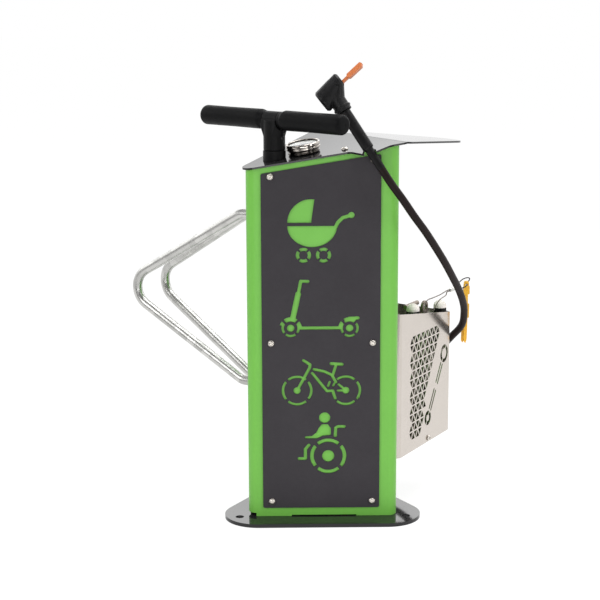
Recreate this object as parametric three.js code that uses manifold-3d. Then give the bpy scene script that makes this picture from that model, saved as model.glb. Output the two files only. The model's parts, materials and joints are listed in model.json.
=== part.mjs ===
// Public tyre pump and tool station: a triangular post on a base plate, a hand pump under a
// sloping roof plate, a tool basket on one face and a tube cycle holder on another.
// Millimetres, +Z up. The origin is the centre of the base plate's underside, and the front
// panel faces -Y.
import * as THREE from 'three';
import * as BufferGeometryUtils from 'three/addons/utils/BufferGeometryUtils.js';
import { ConvexGeometry } from 'three/addons/geometries/ConvexGeometry.js';
import Module from 'manifold-3d';

const wasm = await Module();
wasm.setup();

// Fits shared by all pieces
const seat = 0.3;
const slide = 0.3;
const overrun = 30;
const weld = 0.0005;
const smoothing = 0.01;
const plateSteps = 4;
const cornerSteps = 6;
const wideCornerSteps = 10;
const strokeSteps = 2;
const roundSteps = 24;
const smallRoundSteps = 12;
const degree = Math.PI / 180;

// Post: a rounded triangular tube
const postSide = 350;
const postCornerRadius = 20;
const postWall = 3;
const postReach = postSide / (2 * Math.sqrt(3));
const drainWidth = 140;
const drainHeight = 2.4;
const drainShift = 3;
const cornerNotchWidth = 31;
const cornerNotchHeight = 7;

// Base plate
const baseThickness = 8;
const baseReach = 154.5;
const baseCornerRadius = 75;
const anchorHoleDiameter = 18;
const anchorHoleReach = 208;

// Roof plate: a deck that rises to a fold, and a wing that falls beyond it
const deckCentreHeight = 800.5;
const deckSlopeShare = 0.185;
const wingSlopeShare = 0.092;
const deckThickness = 4;
const deckOverhang = 6;
const deckSharpRadius = 25;
const deckBluntRadius = 28;
const wingTipRadius = 63;
const roofTurn = 30 * degree;

// Hose rest: a tongue of the deck with a slot
const restX = 96;
const restY = -126;
const restSlotWidth = 25.5;
const tongueLeft = 39;
const tongueRight = 46;
const tongueReach = 24;
const tongueTipLeft = 16;
const tongueTipRight = 23;
const tongueStep = 18;

// Deck screws and the lugs they go into
const deckScrewMiddle = 48;
const deckScrewMiddleInset = 26;
const deckScrewRight = 92;
const deckScrewRightInset = 28;
const deckScrewLeft = 46;
const deckScrewLeftInset = 18;
const deckScrewPlaces = [
  { along: deckScrewMiddle, inset: deckScrewMiddleInset, wall: 0 },
  { along: deckScrewRight, inset: deckScrewRightInset, wall: 0 },
  { along: -deckScrewLeft, inset: deckScrewLeftInset, wall: 240 * degree },
];
const lugWidth = 30;
const lugDepth = 34;
const lugThickness = 8;
const screwShank = 8;
const screwHead = 14.5;
const screwHeadHeight = 4.6;
const screwSocket = 5;
const screwSocketDepth = 2.6;
const deckScrewLength = 16;

// Front panel
const panelThickness = 3;
const panelLeft = 129;
const panelRight = 122;
const panelBottom = 27.5;
const panelGap = 12.6;
const panelCornerRadius = 4;
const panelScrewLeftInset = 19.5;
const panelScrewRightInset = 16;
const panelScrewRise = 15;
const panelScrewDrop = 9;
const panelMiddleShare = 0.5037;
const panelScrewLength = 14;

// Pictograms cut through the panel, in shares of their width
const pictogramWidth = 150;
const pictogramX = -3.5;
const pramHeightShare = 0.8;
const scooterHeightShare = 0.584;
const bicycleHeightShare = 0.3715;
const wheelchairHeightShare = 0.205;
const wheelBridgeShare = 0.07;
const wheelBridgeEndShare = 0.008;

// Pump
const pumpX = -100;
const pumpY = -58;
const barrelDiameter = 40;
const barrelWall = 2.5;
const barrelBottom = 300;
const barrelRise = 10.9;
const collarDiameter = 48;
const collarRise = 18.9;
const bushDiameter = 20;
const bushLength = 30;
const rodDiameter = 14;
const pistonLength = 20;
const pistonRestGap = 14;
const sealHeight = 6;
const sealDepth = 3.2;
const pistonSocket = 12;
const footValveDiameter = 52;
const footValveHeight = 38;
const footNippleDiameter = 16;
const footNippleLength = 18;
const footSpigotHeight = 12;
const bracketThickness = 6;
const bracketDepth = 92;

// Pump handle
const handleRise = 64;
const handleTurn = -44 * degree;
const gripDiameter = 42;
const gripLeftEnd = 208;
const gripRightEnd = 197;
const gripCap = 14;
const gripStart = 21;
const gripEndRound = 9;
const gripNeckDiameter = 36;
const gripNeckLength = 14;
const coreDiameter = 22;
const coreWall = 2.5;
const hubWidth = 40;
const hubFootDiameter = 46;
const hubTopLength = 66;
const hubSleeveDiameter = 36;
const hubFootHeight = 12;
const hubNeckHeight = 30;
const rodSocketGap = 4;

// Pressure gauge
const gaugeX = -37;
const gaugeY = -43;
const gaugeDiameter = 68;
const gaugeHeight = 18;
const gaugeWall = 3.5;
const gaugeFloor = 11;
const gaugeStemDiameter = 14;
const gaugeStemLength = 40;
const dialThickness = 1;
const needleLength = 27;
const needleTail = 9;
const needleWidth = 3.4;
const needleThickness = 1.2;
const needleHubDiameter = 8;
const spindleDiameter = 2.6;
const glassThickness = 2;
const bezelWall = 2;
const bezelHeight = 13;
const bezelLip = 2;
const bezelLipWidth = 6;
const needleRest = 225 * degree;

// Air pipes inside the post
const pipeDiameter = 10;
const gaugePipeDiameter = 6;
const pipeSteps = 28;
const pipeSides = 8;

// Hose gland on the basket face
const glandAlong = 60;
const glandHeight = 75;
const glandFlangeDiameter = 34;
const glandFlangeThickness = 4;
const glandNeckDiameter = 24;
const glandLength = 24;
const glandNutDiameter = 30;
const glandNutLength = 12;
const glandThreadDiameter = 18;

// Hose, its sleeve and the pump head
const hoseDiameter = 16.5;
const hoseSides = 10;
const hoseSteps = 34;
const hoseBore = 8;
const headX = -2.3;
const headY = -92;
const headZ = 898.7;
const headLean = 38.5 * degree;
const headLength = 61.6;
const headMouthDiameter = 48.6;
const headBackDiameter = 34;
const headBackRise = 14;
const headEdgeRound = 4;
const headBoreDiameter = 36;
const headBoreDepth = 14;
const neckX = 22.3;
const neckY = -88;
const neckZ = 917;
const headNeckLength = 44;
const headNeckDiameter = 34;
const headNeckTop = 18;
const headNeckInset = 16;
const headCollarDiameter = 38;
const headCollarLength = 4;
const headCollarFrom = 33;
const sealRingBore = 10;
const sealRingLength = 12;
const sleeveDiameter = 24;
const sleeveLength = 87.5;
const sleeveNeckDiameter = 18;
const sleeveNeckLength = 20.5;
const sleeveTaperLength = 34;
const leverWidth = 20;
const leverNeckWidth = 10;
const leverThickness = 10;
const leverNeckThickness = 6;
const leverNeckLength = 25;
const leverLength = 68;
const leverEyeDiameter = 11;
const leverPinDiameter = 4;
const leverPinReach = 48;
const leverPinRise = 5.3;
const leverRest = 4.2 * degree;
const leverSlotGap = 0.5;
const leverSlotDepth = 6.5;

// Cycle holder: two bent tubes on the left back face
const holderTubeDiameter = 21;
const holderReach = 297;
const holderHeight = 481;
const holderPitch = 30 * degree;
const holderNearAlong = 125;
const holderFarAlong = 87;
const holderFarSplay = 12 * degree;
const holderApexRadius = 44;
const holderRootRadius = 30;
const holderRootReach = 26;
const holderSides = 12;
const holderSteps = 54;

// Tool basket on the right back face
const basketReach = 178;
const basketCornerRadius = 13;
const basketSheet = 2;
const basketBottom = 124;
const basketRimHeight = 447;
const basketRimSlopeShare = 0.183;
const basketFlange = 44;
const basketFloorRise = 3;
const basketFloorThickness = 3;
const floorLipHeight = 16;
const floorLipWidth = 24;
const floorLipThickness = 4;
const floorScrewAlong = 178;
const floorScrewHeight = 132.5;
const floorScrewHead = 13;
const floorScrewHeadHeight = 3.6;
const floorScrewShank = 6;
const floorScrewLength = 9;
const basketScrewInset = 27;
const basketScrewHeightShares = [0.14, 0.86];
const basketScrewLength = 14;
const tetherBossDiameter = 12;
const tetherBossHeight = 12;
const tetherTurn = 75 * degree;
const tetherHoleGap = 1.8;

// Perforations of the basket's near wall
const perforationPitch = 22.8;
const perforationBar = 3.4;
const perforationCounts = [13, 13, 12, 11, 10, 9, 8, 7, 7, 6, 6, 5];
const perforationLeft = 75;
const perforationTop = 386;

// Spanner stencil beside them
const stencilX = 174;
const stencilHeight = 180;
const stencilTurn = 57 * degree;
const stencilLength = 157;
const stencilRing = 34;
const stencilRingBore = 15;
const stencilWideRing = 42;
const stencilWideRingBore = 25;
const stencilSlot = 5;
const stencilShaft = 15;
const stencilBridge = 9;
const stencilRingBridge = 4;

// Tools in the basket
const driverNearX = 205;
const driverNearY = 60;
const driverNearTop = 445;
const driverFarX = 275;
const driverFarY = 156.5;
const driverFarTop = 429.5;
const driverPlaces = [
  { x: driverNearX, y: driverNearY, top: driverNearTop },
  { x: driverFarX, y: driverFarY, top: driverFarTop },
];
const driverGripDiameter = 30;
const driverGripLength = 112;
const driverWaistDiameter = 25;
const driverBladeDiameter = 7;
const driverTipWidth = 8;
const driverTipThickness = 1.6;
const driverTipLength = 12;
const driverSocket = 24;
const spannerX = 236;
const spannerY = 121;
const spannerTop = 438;
const spannerThickness = 6;
const spannerShank = 14;
const spannerRing = 30;
const spannerRingBore = 17;
const spannerJaw = 34;
const spannerJawGap = 16;
const spannerMouthTurn = 15 * degree;
const hexKeyX = 206;
const hexKeyY = 118;
const hexKeyTop = 434;
const hexKeySize = 8;
const hexKeyBarDiameter = 11;
const hexKeyBarLength = 64;

// Tyre levers on their sling outside the basket
const tyreLeverX = 340;
const tyreLeverY = 195;
const tyreLeverTop = 468;
const tyreLeverLength = 146;
const tyreLeverWidth = 14;
const tyreLeverThickness = 5;
const tyreLeverHole = 5.4;
const tyreLeverHoleInset = 8;
const tyreLeverLean = 1.6 * degree;
const tyreLeverSpread = 1.2 * degree;
const cableDiameter = 2.6;
const cableSides = 8;
const slingSteps = 78;
const loopSteps = 24;
const ferruleDiameter = 9;
const ferruleLength = 13;
const ferruleX = 301;
const ferruleY = 151;
const ferruleZ = 457;
const strandGap = 3.4;

// Colours and finishes
const paintGreen = { color: 0x76c356, roughness: 0.42, metalness: 0.0 };
const paintDark = { color: 0x403e41, roughness: 0.5, metalness: 0.0 };
const paintGloss = { color: 0x3a3c3f, roughness: 0.16, metalness: 0.2 };
const blackRubber = { color: 0x1e1e1f, roughness: 0.62, metalness: 0.0 };
const blackPlastic = { color: 0x202123, roughness: 0.45, metalness: 0.0 };
const brightSteel = { color: 0xcdc5bc, roughness: 0.3, metalness: 0.9 };
const zincSteel = { color: 0xc9cbc7, roughness: 0.34, metalness: 0.85 };
const chromeMetal = { color: 0xe4e4e2, roughness: 0.08, metalness: 1.0 };
const brassMetal = { color: 0xb89a55, roughness: 0.3, metalness: 0.95 };
const orangePlastic = { color: 0xf28a2c, roughness: 0.42, metalness: 0.0 };
const yellowPlastic = { color: 0xf4bd22, roughness: 0.42, metalness: 0.0 };
const palePlastic = { color: 0xe2e1da, roughness: 0.4, metalness: 0.0 };
const dialWhite = { color: 0xf4f3ef, roughness: 0.5, metalness: 0.0 };
const needleBlack = { color: 0x151515, roughness: 0.5, metalness: 0.0 };
const clearGlass = { color: 0xe8f0f0, roughness: 0.05, metalness: 0.0, transparent: true, opacity: 0.3 };

// Geometry to solid: shared vertices merged, slivers dropped, faces pointing out
function solid(geometry, matrix) {
  const bare = geometry.clone();
  bare.deleteAttribute('normal');
  bare.deleteAttribute('uv');
  if (matrix) {
    bare.applyMatrix4(matrix);
  }
  const merged = BufferGeometryUtils.mergeVertices(bare, weld);
  const position = merged.getAttribute('position');
  const index = merged.getIndex().array;
  const corners = [];
  let volume = 0;
  const a = new THREE.Vector3();
  const b = new THREE.Vector3();
  const c = new THREE.Vector3();
  for (let i = 0; i < index.length; i += 3) {
    if (index[i] === index[i + 1] || index[i + 1] === index[i + 2] || index[i + 2] === index[i]) {
      continue;
    }
    corners.push(index[i], index[i + 1], index[i + 2]);
    a.fromBufferAttribute(position, index[i]);
    b.fromBufferAttribute(position, index[i + 1]);
    c.fromBufferAttribute(position, index[i + 2]);
    volume += a.dot(b.cross(c));
  }
  if (volume < 0) {
    for (let i = 0; i < corners.length; i += 3) {
      const kept = corners[i];
      corners[i] = corners[i + 1];
      corners[i + 1] = kept;
    }
  }
  return new wasm.Manifold(new wasm.Mesh({
    numProp: 3,
    vertProperties: new Float32Array(position.array),
    triVerts: new Uint32Array(corners),
  }));
}

// Solid to named mesh with a material of its own
function mesh(name, body, finish) {
  const raw = body.simplify(smoothing).getMesh();
  const geometry = new THREE.BufferGeometry();
  geometry.setAttribute('position', new THREE.BufferAttribute(raw.vertProperties, 3));
  geometry.setIndex(new THREE.BufferAttribute(raw.triVerts, 1));
  geometry.computeVertexNormals();
  const made = new THREE.Mesh(geometry, new THREE.MeshStandardMaterial(finish));
  made.name = name;
  return made;
}

// Turned shape about Z from [radius, height] pairs, closed on the axis or on itself
function turned(profile, steps = roundSteps) {
  const points = profile.map(([radius, height]) => new THREE.Vector2(radius, height));
  const first = points[0];
  const last = points[points.length - 1];
  if (first.x > 0 || last.x > 0) {
    points.push(first.clone());
  }
  const geometry = new THREE.LatheGeometry(points, steps);
  return geometry.rotateX(Math.PI / 2);
}

// Round bar along Z
function bar(diameter, bottom, top, steps = roundSteps) {
  return turned([[0, bottom], [diameter / 2, bottom], [diameter / 2, top], [0, top]], steps);
}

// Shape raised along Z
function raised(shape, bottom, top, steps = plateSteps) {
  const geometry = new THREE.ExtrudeGeometry(shape, {
    depth: top - bottom,
    bevelEnabled: false,
    curveSegments: steps,
  });
  return geometry.translate(0, 0, bottom);
}

// Box from its lowest and highest corners
function block(low, high) {
  const geometry = new THREE.BoxGeometry(high[0] - low[0], high[1] - low[1], high[2] - low[2]);
  return geometry.translate((low[0] + high[0]) / 2, (low[1] + high[1]) / 2, (low[2] + high[2]) / 2);
}

// Tube along a curve
function tube(path, diameter, sides, steps) {
  const ring = new THREE.Shape();
  for (let i = 0; i < sides; i += 1) {
    const angle = (2 * Math.PI * i) / sides;
    const x = (diameter / 2) * Math.cos(angle);
    const y = (diameter / 2) * Math.sin(angle);
    if (i === 0) {
      ring.moveTo(x, y);
    } else {
      ring.lineTo(x, y);
    }
  }
  return new THREE.ExtrudeGeometry(ring, { steps, bevelEnabled: false, extrudePath: path });
}

// Arc about an axis, for bent bars
class ArcCurve extends THREE.Curve {
  constructor(centre, start, axis, angle) {
    super();
    this.centre = centre;
    this.start = start;
    this.axis = axis;
    this.angle = angle;
  }

  getPoint(share, target = new THREE.Vector3()) {
    const spoke = this.start.clone().sub(this.centre);
    return target.copy(spoke).applyAxisAngle(this.axis, this.angle * share).add(this.centre);
  }
}

// Path through points, with a round bend of the given radius at each inner one
function bentPath(points, radii) {
  const path = new THREE.CurvePath();
  let from = points[0];
  for (let i = 1; i < points.length - 1; i += 1) {
    const back = points[i - 1].clone().sub(points[i]).normalize();
    const on = points[i + 1].clone().sub(points[i]).normalize();
    const half = back.angleTo(on) / 2;
    const radius = radii[i - 1];
    const start = points[i].clone().addScaledVector(back, radius / Math.tan(half));
    const middle = back.clone().add(on).normalize();
    const centre = points[i].clone().addScaledVector(middle, radius / Math.sin(half));
    const axis = back.clone().cross(on).negate().normalize();
    const arc = new ArcCurve(centre, start, axis, Math.PI - 2 * half);
    path.add(new THREE.LineCurve3(from, start));
    path.add(arc);
    from = arc.getPoint(1);
  }
  path.add(new THREE.LineCurve3(from, points[points.length - 1]));
  return path;
}

// Solid below a sloping plane, for cutting
function below(heightAt) {
  const reach = 2 * postSide;
  const geometry = new THREE.BoxGeometry(2 * reach, 2 * reach, 1);
  const position = geometry.getAttribute('position');
  for (let i = 0; i < position.count; i += 1) {
    const top = position.getZ(i) > 0;
    position.setZ(i, top ? heightAt(position.getX(i), position.getY(i)) : -overrun);
  }
  return solid(geometry);
}

// Rounded equilateral triangle about the origin, with one corner on +Y
function triangle(reach, radius) {
  const shape = new THREE.Shape();
  const centre = 2 * (reach - radius);
  for (const corner of [210, 330, 90]) {
    const x = centre * Math.cos(corner * degree);
    const y = centre * Math.sin(corner * degree);
    shape.absarc(x, y, radius, (corner - 60) * degree, (corner + 60) * degree, false);
  }
  shape.closePath();
  return shape;
}

// Polygon with rounded corners, points in counter-clockwise order
function rounded(points, radii) {
  const shape = new THREE.Shape();
  const count = points.length;
  points.forEach((point, i) => {
    const corner = new THREE.Vector2(...point);
    const before = new THREE.Vector2(...points[(i + count - 1) % count]).sub(corner);
    const after = new THREE.Vector2(...points[(i + 1) % count]).sub(corner);
    const radius = Array.isArray(radii) ? radii[i] : radii;
    const half = Math.abs(before.angleTo(after)) / 2;
    const run = radius / Math.tan(half);
    const start = corner.clone().addScaledVector(before.normalize(), run);
    const end = corner.clone().addScaledVector(after.normalize(), run);
    const middle = before.clone().add(after).normalize();
    const centre = corner.clone().addScaledVector(middle, radius / Math.sin(half));
    const from = Math.atan2(start.y - centre.y, start.x - centre.x);
    const to = Math.atan2(end.y - centre.y, end.x - centre.x);
    const turn = after.x * before.y - after.y * before.x;
    if (i === 0) {
      shape.moveTo(start.x, start.y);
    }
    shape.absarc(centre.x, centre.y, radius, from, to, turn < 0);
  });
  shape.closePath();
  return shape;
}

// Straight stroke with round ends
function stroke(from, to, width) {
  const shape = new THREE.Shape();
  const angle = Math.atan2(to[1] - from[1], to[0] - from[0]);
  const quarter = Math.PI / 2;
  shape.absarc(to[0], to[1], width / 2, angle - quarter, angle + quarter, false);
  shape.absarc(from[0], from[1], width / 2, angle + quarter, angle + 3 * quarter, false);
  shape.closePath();
  return shape;
}

function disc(centre, radius) {
  const shape = new THREE.Shape();
  shape.absarc(centre[0], centre[1], radius, 0, 2 * Math.PI, false);
  return shape;
}

// Sector of a ring
function arcBand(centre, outer, inner, from, to) {
  const shape = new THREE.Shape();
  shape.absarc(centre[0], centre[1], outer, from, to, false);
  shape.absarc(centre[0], centre[1], inner, to, from, true);
  shape.closePath();
  return shape;
}

// Frame on an upright wall: X along it, Y up, Z out of it
function wallFrame(turn, reach) {
  const frame = new THREE.Group();
  const facing = turn - Math.PI / 2;
  frame.rotation.set(Math.PI / 2, 0, turn, 'ZYX');
  frame.position.set(reach * Math.cos(facing), reach * Math.sin(facing), 0);
  frame.updateMatrix();
  return frame;
}

function atPlace(x, y, z) {
  return new THREE.Matrix4().makeTranslation(x, y, z);
}

function inFrame(frame, local) {
  return new THREE.Matrix4().multiplyMatrices(frame.matrix, local);
}

// Button screw along Z, its head's underside at zero
function buttonScrew(head, headHeight, shank, length, socket) {
  const profile = [
    [0, -length],
    [shank / 2, -length],
    [shank / 2, 0],
    [head / 2, 0],
    [head / 2, headHeight * 0.3],
    [head * 0.38, headHeight * 0.78],
    [head * 0.24, headHeight],
    [0, headHeight],
  ];
  const body = solid(turned(profile, smallRoundSteps));
  const hexagon = new THREE.Shape();
  for (let i = 0; i < 6; i += 1) {
    const x = (socket / Math.sqrt(3)) * Math.cos(i * 60 * degree);
    const y = (socket / Math.sqrt(3)) * Math.sin(i * 60 * degree);
    if (i === 0) {
      hexagon.moveTo(x, y);
    } else {
      hexagon.lineTo(x, y);
    }
  }
  const recess = solid(raised(hexagon, headHeight - screwSocketDepth, headHeight + overrun));
  return body.subtract(recess);
}

// Heights of the roof planes
const fallX = Math.cos(roofTurn);
const fallY = Math.sin(roofTurn);
const roofRun = (x, y) => x * fallX + y * fallY;
const foldHeight = deckCentreHeight + deckSlopeShare * postReach;
const deckHeight = (x, y) => deckCentreHeight + deckSlopeShare * roofRun(x, y);
const wingHeight = (x, y) => foldHeight - wingSlopeShare * (roofRun(x, y) - postReach);
const deckUnder = (x, y) => deckHeight(x, y) - deckThickness;
const wingUnder = (x, y) => wingHeight(x, y) - deckThickness;
const deckNormal = new THREE.Vector3(-deckSlopeShare * fallX, -deckSlopeShare * fallY, 1).normalize();

// Heights of the pump's parts above the deck that it passes through
const pumpDeck = deckHeight(pumpX, pumpY);
const barrelTop = pumpDeck + barrelRise;
const collarTop = pumpDeck + collarRise;
const handleHeight = collarTop + handleRise;

// Frame on the deck at a plan position, Z square to the deck
function deckFrame(x, y) {
  const frame = new THREE.Group();
  frame.position.set(x, y, deckHeight(x, y));
  frame.quaternion.setFromUnitVectors(new THREE.Vector3(0, 0, 1), deckNormal);
  frame.updateMatrix();
  return frame;
}

const frontWall = wallFrame(0, postReach);
const basketWall = wallFrame(120 * degree, postReach);
const holderWall = wallFrame(240 * degree, postReach);
const nearSide = wallFrame(60 * degree, basketReach);
const farSide = wallFrame(180 * degree, basketReach);

// Plan position of a point given along a wall and inset from its face
function planFrom(place) {
  const frame = wallFrame(place.wall, postReach - place.inset);
  const point = new THREE.Vector3(place.along, 0, 0).applyMatrix4(frame.matrix);
  return [point.x, point.y];
}

// Front panel outline and screw places, in the front wall's own axes
const panelTopAt = (x) => deckUnder(x, -postReach) - panelGap;
const panelCorners = [
  [-panelLeft, panelBottom],
  [panelRight, panelBottom],
  [panelRight, panelTopAt(panelRight)],
  [-panelLeft, panelTopAt(-panelLeft)],
];
const panelScrewLeft = -panelLeft + panelScrewLeftInset;
const panelScrewRight = panelRight - panelScrewRightInset;
const panelRise = (x) => panelTopAt(x) - panelBottom;
const panelScrewPlaces = [];
for (const x of [panelScrewLeft, panelScrewRight]) {
  panelScrewPlaces.push([x, panelBottom + panelScrewRise]);
  panelScrewPlaces.push([x, panelBottom + panelRise(-panelLeft) * panelMiddleShare]);
  panelScrewPlaces.push([x, panelTopAt(x) - panelScrewDrop]);
}

// Pictogram pieces as shares of the pictogram's width, about its centre
const pramShares = {
  canopy: { centre: [-0.137, 0.067], radius: 0.333, from: 82, to: 180 },
  body: { centre: [-0.123, 0.023], radii: [0.347, 0.3] },
  handle: [[0.2, 0], [0.235, 0.07], [0.3, 0.135], [0.423, 0.173]],
  handleWidth: 0.053,
  knob: 0.045,
  wheels: [[-0.246, -0.39], [0.035, -0.39]],
  wheelRadii: [0.107, 0.06],
};
const scooterShares = {
  wheels: [[-0.43, -0.33], [0.403, -0.333]],
  wheelRadii: [0.13, 0.095],
  hub: 0.052,
  guardRadii: [0.16, 0.12],
  guards: [
    { wheel: 0, from: 51, to: 129 },
    { wheel: 0, from: 141, to: 165 },
    { wheel: 0, from: 6, to: 39 },
    { wheel: 1, from: 51, to: 124 },
    { wheel: 1, from: 141, to: 174 },
  ],
  strokes: [
    { points: [[-0.4, -0.2], [-0.322, 0.16]], width: 0.08 },
    { points: [[-0.325, 0.14], [-0.283, 0.345]], width: 0.048 },
    { points: [[-0.286, 0.345], [-0.184, 0.342]], width: 0.045 },
    { points: [[-0.3, -0.328], [0.27, -0.328]], width: 0.048 },
    { points: [[0.4, -0.192], [0.52, -0.187]], width: 0.05 },
  ],
};
const bicycleShares = {
  wheels: [[-0.341, -0.153], [0.351, -0.153]],
  wheelRadii: [0.22, 0.183],
  hub: 0.051,
  without: { wheel: 1, quarter: 2 },
  strokes: [
    { points: [[-0.341, -0.153], [-0.163, 0.18], [-0.157, 0.227], [-0.25, 0.287]], width: 0.042 },
    { points: [[-0.1, 0.157], [0.045, 0.125], [0.151, 0.073], [0.21, -0.033]], width: 0.042 },
    { points: [[-0.125, 0.1], [0.083, -0.163], [0.165, -0.157], [0.2, -0.27]], width: 0.042 },
    { points: [[0.143, 0.239], [0.296, 0.228]], width: 0.048 },
    { points: [[0.212, 0.22], [0.163, 0.06]], width: 0.042 },
    { points: [[0.25, -0.067], [0.351, -0.153], [0.24, -0.157]], width: 0.036 },
    { points: [[0.122, -0.03], [0.1, -0.088]], width: 0.036 },
    { points: [[0.187, -0.052], [0.172, -0.085]], width: 0.032 },
  ],
};
const wheelchairShares = {
  head: { centre: [0.05, 0.296], radius: 0.08 },
  torso: [
    [0.01, 0.2], [-0.037, 0.14], [-0.07, 0.077], [-0.132, 0.027], [-0.23, 0.023], [-0.23, -0.011],
    [-0.057, -0.012], [0.028, 0.029], [0.139, 0.037], [0.139, 0.14], [0.095, 0.2],
  ],
  wheels: [[0.101, -0.272]],
  wheelRadii: [0.26, 0.207],
  hub: 0.087,
  strokes: [
    { points: [[0.202, 0.025], [0.208, 0.145], [0.245, 0.164], [0.33, 0.164]], width: 0.046 },
    { points: [[-0.176, -0.11], [-0.226, -0.17], [-0.226, -0.31], [-0.315, -0.31]], width: 0.046 },
  ],
};

function pictogramShapes(shares) {
  const shapes = [];
  const size = (value) => value * pictogramWidth;
  const spot = (pair) => [size(pair[0]), size(pair[1])];
  for (const line of shares.strokes || []) {
    for (let i = 1; i < line.points.length; i += 1) {
      const part = stroke(spot(line.points[i - 1]), spot(line.points[i]), size(line.width));
      shapes.push({ shape: part, steps: strokeSteps });
    }
  }
  const without = shares.without || {};
  shares.wheels.forEach((wheel, index) => {
    const [outer, inner] = shares.wheelRadii;
    const bridge = wheelBridgeShare + wheelBridgeEndShare / outer;
    for (let quarter = 0; quarter < 4; quarter += 1) {
      if (index === without.wheel && quarter === without.quarter) {
        continue;
      }
      const middle = quarter * 90 * degree;
      const half = 45 * degree - bridge;
      const band = arcBand(spot(wheel), size(outer), size(inner), middle - half, middle + half);
      shapes.push({ shape: band, steps: strokeSteps });
    }
    if (shares.hub) {
      shapes.push({ shape: disc(spot(wheel), size(shares.hub)), steps: cornerSteps });
    }
  });
  for (const guard of shares.guards || []) {
    const [outer, inner] = shares.guardRadii;
    const centre = spot(shares.wheels[guard.wheel]);
    const band = arcBand(centre, size(outer), size(inner), guard.from * degree, guard.to * degree);
    shapes.push({ shape: band, steps: strokeSteps });
  }
  if (shares.head) {
    const round = disc(spot(shares.head.centre), size(shares.head.radius));
    shapes.push({ shape: round, steps: cornerSteps });
  }
  if (shares.torso) {
    const torso = new THREE.Shape(shares.torso.map((pair) => new THREE.Vector2(...spot(pair))));
    shapes.push({ shape: torso, steps: strokeSteps });
  }
  if (shares.canopy) {
    const { centre, radius, from, to } = shares.canopy;
    const canopy = new THREE.Shape();
    canopy.moveTo(...spot(centre));
    canopy.absarc(...spot(centre), size(radius), from * degree, to * degree, false);
    canopy.closePath();
    shapes.push({ shape: canopy, steps: plateSteps });
  }
  if (shares.body) {
    const bowl = new THREE.Shape();
    const [wide, deep] = shares.body.radii;
    bowl.absellipse(...spot(shares.body.centre), size(wide), size(deep), Math.PI, 2 * Math.PI, false);
    bowl.closePath();
    shapes.push({ shape: bowl, steps: cornerSteps });
    const line = shares.handle;
    for (let i = 1; i < line.length; i += 1) {
      const part = stroke(spot(line[i - 1]), spot(line[i]), size(shares.handleWidth));
      shapes.push({ shape: part, steps: strokeSteps });
    }
    shapes.push({ shape: disc(spot(line[line.length - 1]), size(shares.knob)), steps: plateSteps });
  }
  return shapes;
}

function panelPictograms() {
  const rows = [
    { shares: pramShares, height: pramHeightShare },
    { shares: scooterShares, height: scooterHeightShare },
    { shares: bicycleShares, height: bicycleHeightShare },
    { shares: wheelchairShares, height: wheelchairHeightShare },
  ];
  const tall = panelRise(panelRight);
  const cutters = [];
  for (const row of rows) {
    const place = atPlace(pictogramX, panelBottom + tall * row.height, 0);
    for (const { shape, steps } of pictogramShapes(row.shares)) {
      cutters.push(solid(raised(shape, -overrun, overrun, steps), place));
    }
  }
  return cutters;
}

// Base plate with its anchor holes
function basePlate() {
  let plate = solid(raised(triangle(baseReach, baseCornerRadius), 0, baseThickness, wideCornerSteps));
  const hole = bar(anchorHoleDiameter, -overrun, baseThickness + overrun);
  for (const corner of [210, 330, 90]) {
    const x = anchorHoleReach * Math.cos(corner * degree);
    const y = anchorHoleReach * Math.sin(corner * degree);
    plate = plate.subtract(solid(hole, atPlace(x, y, 0)));
  }
  return plate;
}

// Post shell with its drain gap, corner notch, lugs and screw holes
function postShell() {
  const bottom = baseThickness;
  const top = foldHeight + overrun;
  const outer = solid(raised(triangle(postReach, postCornerRadius), bottom, top, cornerSteps));
  const innerShape = triangle(postReach - postWall, postCornerRadius - postWall);
  const inner = solid(raised(innerShape, bottom - overrun, top + overrun, cornerSteps));
  let shell = outer.subtract(inner);
  for (const place of deckScrewPlaces) {
    const near = place.inset - lugDepth / 2;
    const frame = wallFrame(place.wall, postReach);
    const low = [place.along - lugWidth / 2, bottom, -near - lugDepth];
    const high = [place.along + lugWidth / 2, top, -postWall / 2];
    const lug = solid(block(low, high), frame.matrix);
    const floor = below((x, y) => deckUnder(x, y) - seat - lugThickness);
    shell = shell.add(lug.subtract(floor));
  }
  shell = shell.intersect(below((x, y) => deckUnder(x, y) - seat));
  for (const place of deckScrewPlaces) {
    const [x, y] = planFrom(place);
    const drill = bar(screwShank + 2 * seat, -overrun, overrun, smallRoundSteps);
    shell = shell.subtract(solid(drill, deckFrame(x, y).matrix));
  }
  const wallDrill = bar(screwShank + 2 * seat, -overrun, overrun, smallRoundSteps);
  for (const [x, y] of panelScrewPlaces) {
    shell = shell.subtract(solid(wallDrill, inFrame(frontWall, atPlace(x, y, 0))));
  }
  for (const [x, y] of basketScrewPlaces) {
    shell = shell.subtract(solid(wallDrill, inFrame(basketWall, atPlace(x, y, 0))));
  }
  const glandDrill = bar(glandThreadDiameter + 2 * seat, -overrun, overrun);
  shell = shell.subtract(solid(glandDrill, inFrame(basketWall, atPlace(glandAlong, glandHeight, 0))));
  const drainLow = [drainShift - drainWidth / 2, bottom - overrun, -overrun];
  const drainHigh = [drainShift + drainWidth / 2, bottom + drainHeight, overrun];
  shell = shell.subtract(solid(block(drainLow, drainHigh), frontWall.matrix));
  const notchLow = [-postSide, bottom - overrun, -cornerNotchWidth];
  const notchHigh = [cornerNotchWidth - postSide / 2, bottom + cornerNotchHeight, overrun];
  return shell.subtract(solid(block(notchLow, notchHigh), frontWall.matrix));
}

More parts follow.
